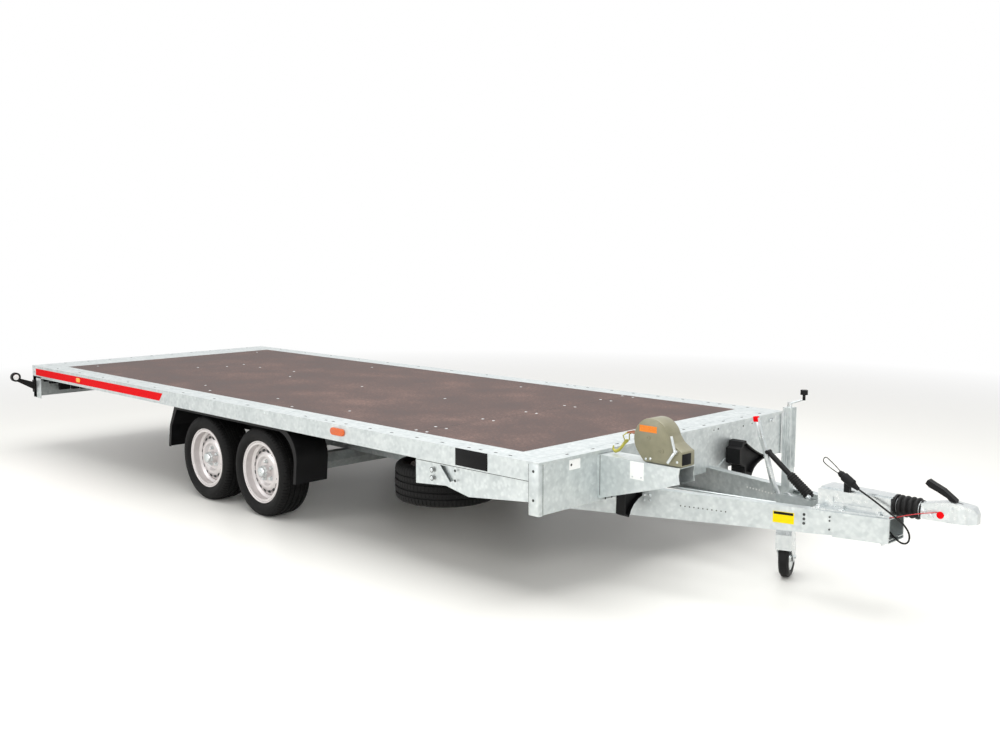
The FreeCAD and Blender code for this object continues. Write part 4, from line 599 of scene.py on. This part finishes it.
set_in_place("inner_beam_holes_painted_light", painted_light_holes, white_label_and_painted_light)
label, header = bmesh.new(), bmesh.new()
thin = beam_out(-1) * 0.0006
plate(label, [on_beam(2.518, 0.356, -1), on_beam(2.612, 0.356, -1), on_beam(2.612, 0.408, -1),
              on_beam(2.518, 0.408, -1)], thin)
plate(header, [on_beam(2.522, 0.394, -1, 0.0006), on_beam(2.608, 0.394, -1, 0.0006),
               on_beam(2.608, 0.406, -1, 0.0006), on_beam(2.522, 0.406, -1, 0.0006)], beam_out(-1) * 0.0003)
set_in_place("yellow_beam_label", label, yellow_label)
set_in_place("label_header", header, black_vinyl)


# Road tyres: radial car tyres with four grooves round the tread and sipes across its ribs. The side wall
# has moulded rings and no lettering. Each one hides its plain CAD solid.
def tread_profile():
    """(distance from the wheel's middle plane, radius, ribbed) across the tyre, bead to bead."""
    wall = [(0.0705, 0.1675, 0), (0.0760, 0.1740, 0), (0.0790, 0.1840, 0), (0.0850, 0.1900, 0),
            (0.0905, 0.1990, 0), (0.0925, 0.2010, 0), (0.0955, 0.2100, 0), (0.0972, 0.2215, 0),
            (0.0955, 0.2330, 0), (0.0940, 0.2350, 0), (0.0915, 0.2440, 0), (0.0880, 0.2500, 1),
            (0.0820, 0.2560, 1), (0.0750, 0.2595, 1), (0.0650, 0.2610, 1)]
    crown = [(0.0545, 0.2617, 1), (0.0525, 0.2550, 0), (0.0465, 0.2550, 0), (0.0445, 0.2621, 1),
             (0.0300, 0.2624, 1), (0.0230, 0.2625, 1), (0.0210, 0.2550, 0), (0.0150, 0.2550, 0),
             (0.0130, 0.2625, 1), (0.0, 0.2625, 1)]
    half = wall + crown
    return half + [(-across, radius, ribbed) for across, radius, ribbed in half[-2::-1]]


def road_tyre_mesh():
    mesh = bmesh.new()
    profile = tread_profile()
    pitches = 76
    columns = []
    for pitch in range(pitches):
        for share, sunk in ((0.0, 1), (0.09, 1), (0.13, 0), (0.96, 0)):
            ring = []
            for across, radius, ribbed in profile:
                slant = 0.35 * math.copysign(1, across) if abs(across) > 0.02 else 0.0
                angle = 2 * math.pi * (pitch + share + slant * (abs(across) - 0.02) / 0.06) / pitches
                depth = 0.0045 if sunk and ribbed and (abs(across) > 0.056 or abs(across) < 0.046) else 0.0
                depth = depth * 0.35 if abs(across) < 0.046 else depth
                reach = radius - depth
                ring.append(mesh.verts.new((math.cos(angle) * reach, across, math.sin(angle) * reach)))
            columns.append(ring)
    for first, second in zip(columns, columns[1:] + columns[:1]):
        for step in range(len(profile) - 1):
            mesh.faces.new((first[step], first[step + 1], second[step + 1], second[step]))
        mesh.faces.new((first[-1], first[0], second[0], second[-1]))
    bmesh.ops.recalc_face_normals(mesh, faces=mesh.faces[:])
    return mesh


TYRE_RADIUS, HALF_TRACK = 0.2625, 0.879
WHEELS = {"front_left": (-0.390, 1), "front_right": (-0.390, -1), "rear_left": (-0.983, 1),
          "rear_right": (-0.983, -1)}
for name, (x, side) in WHEELS.items():
    mesh = road_tyre_mesh()
    bmesh.ops.translate(mesh, vec=(x, side * HALF_TRACK, TYRE_RADIUS), verts=mesh.verts)
    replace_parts(set_in_place("road_tyre_" + name, mesh, tyre_rubber, "wheel_" + name,
                             sharp=30), "tyre_" + name)
mesh = road_tyre_mesh()
bmesh.ops.rotate(mesh, matrix=Matrix.Rotation(math.radians(90), 3, "X"), verts=mesh.verts)
bmesh.ops.translate(mesh, vec=(0.955, -0.728, 0.3975), verts=mesh.verts)
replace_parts(set_in_place("road_tyre_spare", mesh, tyre_rubber, sharp=30), "spare_tyre")


# Wheel hardware: on each wheel five domed bolts, a pressed grease cap over the hub, a rubber valve and the
# ring of sixteen oval vents, drawn as dark inlays of painted shade because the CAD disc is closed.
def wheel_hardware(middle, axis):
    """Bright bolts and cap, and the black valve, about a wheel's middle with the axle pointing outward."""
    axis = Vector(axis)
    bright, dark, vents = (bmesh.new() for kind in range(3))
    across = axis.orthogonal().normalized()
    beside = axis.cross(across)
    face = Vector(middle) + axis * 0.0300
    for step in range(5):
        angle = 2 * math.pi * step / 5 + 0.3
        spot = face + (across * math.cos(angle) + beside * math.sin(angle)) * 0.056
        turn_round(bright, spot, axis, [(0.0135, 0), (0.0120, 0.006), (0.0090, 0.0065), (0.0090, 0.016),
                                        (0.0070, 0.019), (0, 0.0195)], 12)
    cap = Vector(middle) + axis * 0.0640
    turn_round(bright, cap, axis, [(0.0345, -0.008), (0.0345, 0.0), (0.0320, 0.002), (0.0310, 0.012),
                                   (0.0270, 0.018), (0.0180, 0.021), (0, 0.022)], 32)
    for step in range(16):
        angle = 2 * math.pi * (step + 0.5) / 16
        outward = across * math.cos(angle) + beside * math.sin(angle)
        along = (beside * math.cos(angle) - across * math.sin(angle)).normalized()
        normal = (axis * 0.934 + outward * 0.358).normalized()
        spot = Vector(middle) + axis * 0.0372 + outward * 0.1215
        plate(vents, oval(spot, along, normal.cross(along), 0.0125, 0.0085), normal * 0.0012)
    valve = face + (across * math.cos(2.2) + beside * math.sin(2.2)) * 0.143
    turn_round(dark, valve, axis, [(0.006, -0.01), (0.0055, 0.008), (0.0035, 0.012), (0.0035, 0.026),
                                   (0.0045, 0.027), (0.0045, 0.034), (0, 0.034)], 12)
    return bright, dark, vents


for name, (x, side) in WHEELS.items():
    bright, dark, vents = wheel_hardware((x, side * HALF_TRACK, TYRE_RADIUS), (0, side, 0))
    set_in_place("wheel_bolts_" + name, bright, bright_zinc, "wheel_" + name)
    set_in_place("disc_vents_" + name, vents, hole_dark, "wheel_" + name)
    set_in_place("tyre_valve_" + name, dark, black_rubber, "wheel_" + name)


# Winch: a painted sheet cover with a round drum housing and ring-headed bolts, a blank orange label, a pawl
# lever, the webbing's end and a dark square crank socket. The stand below has a riveted white label and
# a dark seam where it meets the panel. Cover, lever and strap stand in for their CAD nodes.
shell = bmesh.new()
profile = [(2.108, 0.634), (2.083, 0.664)]
profile += [(2.148 + 0.096 * math.cos(math.radians(angle)), 0.736 + 0.096 * math.sin(math.radians(angle)))
            for angle in range(214, 4, -10)]
profile += [(2.262, 0.732), (2.298, 0.708), (2.3140, 0.700), (2.3140, 0.634)]
plate(shell, [(x, -0.601, z) for x, z in profile], (0, 0.096, 0), 0.004)
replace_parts(set_in_place("winch_shell", shell, winch_paint, sharp=40), "winch_cover")
pawl = bmesh.new()
turn_round(pawl, (2.285, -0.601, 0.700), (0, -1, 0), [(0.009, 0), (0.009, 0.014), (0.006, 0.016),
                                                      (0, 0.016)], 16)
plate(pawl, [(2.279, -0.611, 0.698), (2.291, -0.611, 0.702), (2.274, -0.615, 0.770),
             (2.262, -0.615, 0.768)], (0, -0.004, 0), 0.001)
plate(pawl, [(2.279, -0.611, 0.702), (2.291, -0.611, 0.698), (2.255, -0.615, 0.644),
             (2.243, -0.615, 0.650)], (0, -0.004, 0), 0.001)
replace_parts(set_in_place("pawl_lever", pawl, bright_zinc), "winch_lever")
webbing = bmesh.new()
plate(webbing, facing_up(0.7455, 1.994, 2.066, -0.578, -0.528), (0, 0, 0.003), 0.001)
turn_round(webbing, (1.998, -0.578, 0.747), (0, 1, 0), [(0, 0), (0.005, 0), (0.005, 0.050), (0, 0.050)], 14)
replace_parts(set_in_place("webbing_end", webbing, strap_webbing), "winch_strap")
trim, dark, paper, orange, rings = (bmesh.new() for kind in range(5))
for side in (-1, 1):
    face = -0.553 + side * 0.048
    for x, z, size in ((2.134, 0.743, 1.0), (2.205, 0.692, 1.25), (2.147, 0.651, 0.6), (2.122, 0.647, 0.6),
                       (2.290, 0.655, 0.6)):
        turn_round(rings if size > 0.9 else trim, (x, face, z), (0, side, 0),
                   [(radius * size, height) for radius, height in ((0.0095, 0), (0.0095, 0.0025),
                                                                   (0.0075, 0.004), (0.006, 0.004),
                                                                   (0.0055, 0.0022), (0, 0.0022))], 18)
plate(orange, facing_side(-0.601, 2.084, 2.178, 0.768, 0.797), (0, -0.0005, 0))
plate(dark, facing_front(2.3145, -0.600, -0.534, 0.642, 0.692), (0.001, 0, 0), 0.0003)
plate(paper, facing_side(-0.6105, 2.041, 2.118, 0.548, 0.628), (0, -0.0008, 0))
for x in (2.056, 2.104):
    rivet(trim, (x, -0.6113, 0.560), (0, -1, 0), 5)
plate(dark, facing_side(-0.6101, 1.866, 1.869, 0.442, 0.630), (0, -0.0006, 0))
for y in (-0.560, -0.514, -0.470):
    rivet(dark, (1.8605, y, 0.4175), (1, 0, 0), 5)
set_in_place("winch_bolts", trim, bright_zinc)
set_in_place("winch_ring_bolts", rings, winch_paint)
set_in_place("winch_label", orange, vinyl_film("orange_label", "#E8893C", "#DC7A2E", 4 * MM, 0.45))
set_in_place("stand_label", paper, white_label_and_painted_light)
set_in_place("socket_surround", dark, black_vinyl)


# Strap hook: a forged yellow-passivated hook on a bent wire link that passes round the strap's end.
# Both are chains of tapered round bars. It lies on the stand behind the winch.
hook = bmesh.new()
wire = [Vector(point) for point in ((1.978, -0.537, 0.706), (1.972, -0.530, 0.730), (1.998, -0.526, 0.747),
                                    (1.998, -0.580, 0.747), (1.972, -0.576, 0.730), (1.978, -0.569, 0.706),
                                    (1.978, -0.537, 0.706))]
bend = [Vector(point) for point in ((1.978, -0.553, 0.706), (1.962, -0.553, 0.690), (1.948, -0.553, 0.672),
                                    (1.930, -0.553, 0.654), (1.910, -0.553, 0.645), (1.898, -0.553, 0.655),
                                    (1.900, -0.553, 0.672))]
for points, thick in ((wire, (0.0026,) * 7), (bend, (0.0085, 0.0075, 0.007, 0.008, 0.0078, 0.006, 0.003))):
    for start, finish, first, last in zip(points, points[1:], thick, thick[1:]):
        turn_round(hook, start, finish - start, [(0, -first * 0.4), (first * 0.8, -first * 0.2), (first, 0),
                                                 (last, (finish - start).length),
                                                 (0, (finish - start).length + last * 0.4)], 12)
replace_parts(set_in_place("forged_hook", hook, hook_lacquer, sharp=50), "strap_hook")


# Wheel chocks: black polypropylene wedges with a concave tread face, moulded hollow behind a rim. One
# is clipped in its holder on the front panel, the other hangs below the panel.
def chock(mesh, outline, inset, near, far):
    """A wedge between two planes across X whose front face sinks inside a rim."""
    middle = Vector((0, sum(y for y, z in outline) / len(outline),
                     sum(z for y, z in outline) / len(outline)))
    rings = []
    for x, share in ((far, 0.0), (near, 0.0), (near, inset), (near - 0.022, inset + 0.02)):
        rings.append([mesh.verts.new((x, y + (middle.y - y) * share, z + (middle.z - z) * share))
                      for y, z in outline])
    for low, high in zip(rings, rings[1:]):
        for step in range(len(outline)):
            following = (step + 1) % len(outline)
            mesh.faces.new((low[step], low[following], high[following], high[step]))
    mesh.faces.new(rings[0][::-1])
    mesh.faces.new(rings[-1])


hollow = [(0.444, 0.440), (0.440, 0.520), (0.462, 0.528), (0.470, 0.556), (0.500, 0.560), (0.508, 0.545),
          (0.530, 0.532), (0.585, 0.500), (0.645, 0.472), (0.706, 0.452), (0.702, 0.442), (0.660, 0.434),
          (0.620, 0.420), (0.590, 0.402), (0.572, 0.380), (0.562, 0.364), (0.540, 0.366), (0.496, 0.384),
          (0.494, 0.420)]
mesh = bmesh.new()
chock(mesh, hollow, 0.16, 1.946, 1.862)
hung = [(-0.478, 0.430), (-0.480, 0.330), (-0.446, 0.315), (-0.432, 0.345), (-0.408, 0.372),
        (-0.376, 0.392), (-0.345, 0.402), (-0.345, 0.430)]
chock(mesh, hung, 0.10, 1.912, 1.860)
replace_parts(set_in_place("moulded_chocks", mesh, black_plastic, sharp=40), "wheel_chocks")


# Coupling trim: the red wear disc and the plated bolts on each side of the cast head, and the nuts that
# hold the housing's flange to the drawbar.
trim, discs = bmesh.new(), bmesh.new()
for side in (-1, 1):
    turn_round(discs, (3.209, side * 0.032, 0.482), (0, side, 0),
               [(0.0155, 0), (0.0155, 0.002), (0.013, 0.0028), (0, 0.003)], 28)
    for x, z in ((3.140, 0.486), (3.172, 0.474)):
        hex_bolt(trim, (x, side * 0.0325, z), (0, side, 0), 13, 7)
    turn_round(trim, (3.255, side * 0.032, 0.512), (0, side, 0),
               [(0.010, 0), (0.010, 0.003), (0.006, 0.004), (0, 0.004)], 16)
    for x, y in ((2.700, 0.112), (2.800, 0.094), (2.960, 0.070)):
        hex_bolt(trim, (x, side * y, 0.443), (0, 0, 1), 15, 9)
set_in_place("coupling_bolts", trim, bright_zinc)
set_in_place("wear_discs", discs, red_tape)


# Handbrake strut: a black gas spring whose lower end wears a corrugated rubber boot of eleven folds.
# It is pinned to the lever above and bolted to the bracket below.
strut = bmesh.new()
top, foot = Vector((2.378, 0.0, 0.630)), Vector((2.607, 0.0, 0.447))
line = (foot - top).normalized()
reach = (foot - top).length
profile = [(0.0, 0.004), (0.0095, 0.006), (0.0125, 0.014), (0.0125, 0.142), (0.0175, 0.146),
           (0.0175, 0.152)]
for fold in range(11):
    start = 0.152 + fold * (reach - 0.166) / 11
    profile += [(0.0185 + 0.0003 * fold, start), (0.0225 + 0.0002 * fold, start + 0.0045),
                (0.0225 + 0.0002 * fold, start + 0.0075)]
profile += [(0.0185, reach - 0.014), (0.0185, reach - 0.006), (0.0, reach - 0.005)]
turn_round(strut, top, line, profile, 24)
turn_round(strut, (2.378, -0.017, 0.630), (0, 1, 0), [(0, 0), (0.0095, 0.0), (0.0095, 0.034), (0, 0.034)],
           16)
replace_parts(set_in_place("strut_and_boot", strut, black_rubber, sharp=50),
            "handbrake_strut")
end_nut = bmesh.new()
hex_bolt(end_nut, (2.602, -0.020, 0.452), (0, -1, 0), 17, 9)
set_in_place("strut_nut", end_nut, bright_zinc)


# Overrun bellows: moulded rubber with four deep folds, gripped by a lip at each end, between the
# housing and the coupling head.
bellows = bmesh.new()
profile = [(0.0305, 0.0), (0.046, 0.0), (0.047, 0.010)]
for fold in range(4):
    start = 0.010 + fold * 0.0255
    profile += [(0.0355, start + 0.001), (0.0345, start + 0.003), (0.0455, start + 0.009),
                (0.0468, start + 0.014), (0.0455, start + 0.019), (0.0355, start + 0.0245)]
profile += [(0.0345, 0.113), (0.039, 0.114), (0.039, 0.121), (0.0305, 0.121)]
turn_round(bellows, (3.005, 0.0, 0.486), (1, 0, 0), profile, 40)
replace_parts(set_in_place("folded_bellows", bellows, black_rubber, sharp=50),
            "overrun_bellows")


# Handbrake lever: a flat steel bar that leans forward over its toothed quadrant, with a moulded red cap
# pressed on the tip.
bar = bmesh.new()
edge = [(2.300, 0.785), (2.322, 0.785), (2.346, 0.700), (2.372, 0.636), (2.414, 0.500), (2.462, 0.402),
        (2.428, 0.400), (2.390, 0.500), (2.349, 0.636), (2.324, 0.700)]
plate(bar, [(x, -0.008, z) for x, z in edge], (0, 0.016, 0), 0.002)
turn_round(bar, (2.477, -0.008, 0.417), (0, 1, 0), [(0, 0), (0.036, 0), (0.036, 0.016), (0, 0.016)], 28)
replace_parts(set_in_place("brake_lever_bar", bar, bright_zinc), "handbrake_lever")
grip = bmesh.new()
plate(grip, [(2.298, -0.0105, 0.762), (2.325, -0.0105, 0.765), (2.319, -0.0105, 0.791),
             (2.293, -0.0105, 0.788)], (0, 0.021, 0), 0.004)
set_in_place("lever_cap", grip, red_tape)


# Guard label: a blank grey sticker inside the rear apron, and dark blocks on the rear panel's inner face
# that stand partly for the cable loom and lamp backs and partly for painted shade under the rear rail.
sticker, loom_and_shade = bmesh.new(), bmesh.new()
for side in (-1, 1):
    plate(sticker, [(-1.386, side * 0.830, 0.420), (-1.386, side * 0.900, 0.420),
                    (-1.378, side * 0.900, 0.484), (-1.378, side * 0.830, 0.484)], (0.0006, 0, 0))
    # Dark blocks: the loom and lamp backs, with painted shade round them under the rail.
    for y, z, wide, tall in ((0.800, 0.480, 0.085, 0.062), (0.715, 0.470, 0.060, 0.050),
                             (0.640, 0.455, 0.070, 0.030), (0.900, 0.532, 0.120, 0.020)):
        plate(loom_and_shade, [(-3.318, side * (y - wide / 2), z - tall / 2),
                     (-3.318, side * (y + wide / 2), z - tall / 2),
                     (-3.318, side * (y + wide / 2), z + tall / 2),
                     (-3.318, side * (y - wide / 2), z + tall / 2)], (0.024, 0, 0), 0.004)
set_in_place("guard_sticker", sticker, vinyl_film("grey_sticker", "#9FA3A2", "#8F9392", 4 * MM, 0.6))
set_in_place("lamp_backs_and_shade", loom_and_shade, black_plastic)


# Lamps: clear front and red rear lenses in the black outline lamps, and ribbed red, amber and clear
# lenses over the rear lamp units.
def ribbed_lens(name, light, dark):
    made, tree = new_material(name)
    ribs = node(tree, "TexWave", {"Vector": metre_grain(tree, 8 * MM), "Scale": 1.0}, bands_direction="Z")
    colour = ramp(tree, ribs.outputs["Fac"], (0.2, dark), (0.8, light))
    bump = node(tree, "Bump", {"Height": ribs.outputs["Fac"], "Strength": 0.4, "Distance": 0.6 * MM})
    surface = node(tree, "BsdfPrincipled", {"Base Color": colour, "Roughness": 0.30, "Coat Weight": 0.2,
                                            "Normal": bump.outputs["Normal"]})
    finish_surface(tree, surface.outputs["BSDF"])
    return made


red_lens = ribbed_lens("red_lens", "#C81A1C", "#96100F")
clear_lens = ribbed_lens("clear_lens_ribbed", "#F3F4F2", "#D6D8D6")
amber_lens = ribbed_lens("amber_lens_ribbed", "#F06A00", "#B84800")
low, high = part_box("side_markers")
markers = bmesh.new()
for side in (-1, 1):
    centre = ((low.x + high.x) / 2, side * (SIDE - 0.001), (low.z + high.z) / 2)
    plate(markers, oval(centre, (1, 0, 0), (0, 0, 1), (high.x - low.x) / 2, (high.z - low.z) / 2),
          (0, side * 0.011, 0), 0.003)
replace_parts(set_in_place("marker_lenses", markers, amber_lens), "side_markers")
lenses = {"red": bmesh.new(), "clear": bmesh.new(), "amber": bmesh.new()}
LAMP_FOOT, LAMP_HEIGHT = 0.501, 0.098
low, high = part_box("arm_lamps")
for side in (-1, 1):
    middle = (0.0, side * (high.y - 0.032), (low.z + high.z) / 2)
    for x, axis, kind in ((high.x, (1, 0, 0), "clear"), (low.x, (-1, 0, 0), "red")):
        turn_round(lenses[kind], (x, middle[1], middle[2]), axis,
                   [(0.021, -0.001), (0.021, 0.0004), (0.016, 0.0012), (0, 0.0018)], 28)
    for start, end, kind in ((0.664, 0.740, "clear"), (0.744, 0.820, "red"), (0.824, 0.896, "amber")):
        corners = facing_front(-3.354, side * start, side * end, LAMP_FOOT, LAMP_FOOT + LAMP_HEIGHT)
        plate(lenses[kind], corners, (-0.0009, 0, 0))
for kind, finish in (("red", red_lens), ("clear", clear_lens), ("amber", amber_lens)):
    set_in_place(kind + "_lenses", lenses[kind], finish)


# Junction box: moulded polypropylene between the beams' tips, with its lid facing forward and two
# cable glands screwed into the lid.
box = bmesh.new()
plate(box, facing_front(2.930, -0.052, 0.052, 0.350, 0.424), (0.006, 0, 0), 0.002)
plate(box, facing_front(2.905, -0.045, 0.045, 0.356, 0.418), (0.030, 0, 0), 0.004)
for y in (-0.030, 0.030):
    turn_round(box, (2.936, y, 0.372), (1, 0, 0), [(0.009, 0), (0.009, 0.008), (0.006, 0.010),
                                                   (0.006, 0.018), (0, 0.018)], 8)
set_in_place("junction_box", box, black_plastic)


# Jockey wheel hub: a zinc-plated pressed steel disc with a bushed axle on each side of the rubber
# wheel. It turns with the wheel's body.
spin = next(joint for joint in frame["joints"] if joint["name"] == "jockey_spin")
axle, middle = Vector(spin["axis"]), Vector(spin["pos_m"])
hub = bmesh.new()
for hand in (-1, 1):
    turn_round(hub, middle + axle * hand * 0.0142, axle * hand,
               [(0.0665, 0), (0.0660, 0.006), (0.060, 0.0075), (0.040, 0.003), (0.028, 0.003),
                (0.0245, 0.012)], 32)
set_in_place("jockey_hub", hub, bright_zinc, "jockey_wheel")


# Cables: the lighting cable and the thin wire loop at its parked plug, and the red breakaway cable.
# PVC sheathing, satin, laid in one smooth line each.
def sheathed_cord(name, points, radius, material, node_name):
    curve = bpy.data.curves.new(name, "CURVE")
    curve.dimensions = "3D"
    line = curve.splines.new("NURBS")
    line.points.add(len(points) - 1)
    for point, place in zip(line.points, points):
        point.co = (*[value * MM for value in place], 1)
    line.order_u = 3
    line.use_endpoint_u = True
    line.resolution_u = 12
    curve.bevel_depth = radius * MM
    curve.bevel_resolution = 5
    curve.use_fill_caps = True
    curve.materials.append(material)
    piece = bpy.data.objects.new(name, curve)
    bpy.context.scene.collection.objects.link(piece)
    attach(piece, "chassis")
    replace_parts(piece, node_name)
    return piece


breakaway = [(3005, -56, 439), (3035, -62, 446), (3070, -66, 461), (3120, -64, 477), (3165, -54, 488),
             (3198, -34.9, 492)]
lighting = [(2945, 0, 434.2), (2952, -2, 392), (2995, -8, 352), (3048, -30, 327), (3092, -58, 345),
            (3106, -80, 392), (3075, -88, 436), (3025, -87, 463), (2975, -84, 490), (2922, -80, 518),
            (2868, -75, 542.6)]
ALONG, ACROSS = (-0.8417, 0.0434, 0.5380), (0.5380, 0, 0.8417)
loop = [tuple(start + reach * a + side * b for start, a, b in zip((2867, -75, 543), ALONG, ACROSS))
        for reach, side in ((112, -7), (140, -11), (172, -14), (204, -13), (205, 14), (172, 13), (140, 11),
                            (112, 7))]
red_wire = sheathed_cord("breakaway_cord", breakaway, 2, red_sheath, "breakaway_cable")
black_wire = sheathed_cord("lighting_cord", lighting, 4, black_rubber, "lighting_cable")
loop_wire = sheathed_cord("plug_wire_loop", loop, 2, black_rubber, "plug_loop")


# Eased edges: folded sheet, castings and mouldings have small radii that catch the light. Each is a bevel
# on the CAD node, as wide as the part's own edge radius.
def ease(width, *names):
    """Bevel the sharp edges of CAD nodes, width in millimetres."""
    for name in names:
        rounding = frame["nodes"][name].modifiers.new("eased", "BEVEL")
        rounding.width = width * MM
        rounding.segments = 2
        rounding.limit_method = "ANGLE"
        rounding.angle_limit = math.radians(40)
        rounding.harden_normals = False


for name, thing in frame["nodes"].items():
    thing.data.shade_smooth()
    thing.data.set_sharp_from_angle(angle=math.radians(32))
ease(1.2, "side_rail_left", "side_rail_right", "front_rail", "rear_rail", "drawbar_beam_left",
     "drawbar_beam_right", "corner_posts", "drawbar_head", "winch_stand")
ease(3.5, "coupling_head", "overrun_housing", "coupling_handle")
ease(1.0, "mudguards", "chock_holder", "jockey_fork")


# Sizes of the CAD and of the dressed trailer, for comparison.
size = {"cad": cad_box, "visual": [list(corner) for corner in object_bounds()]}
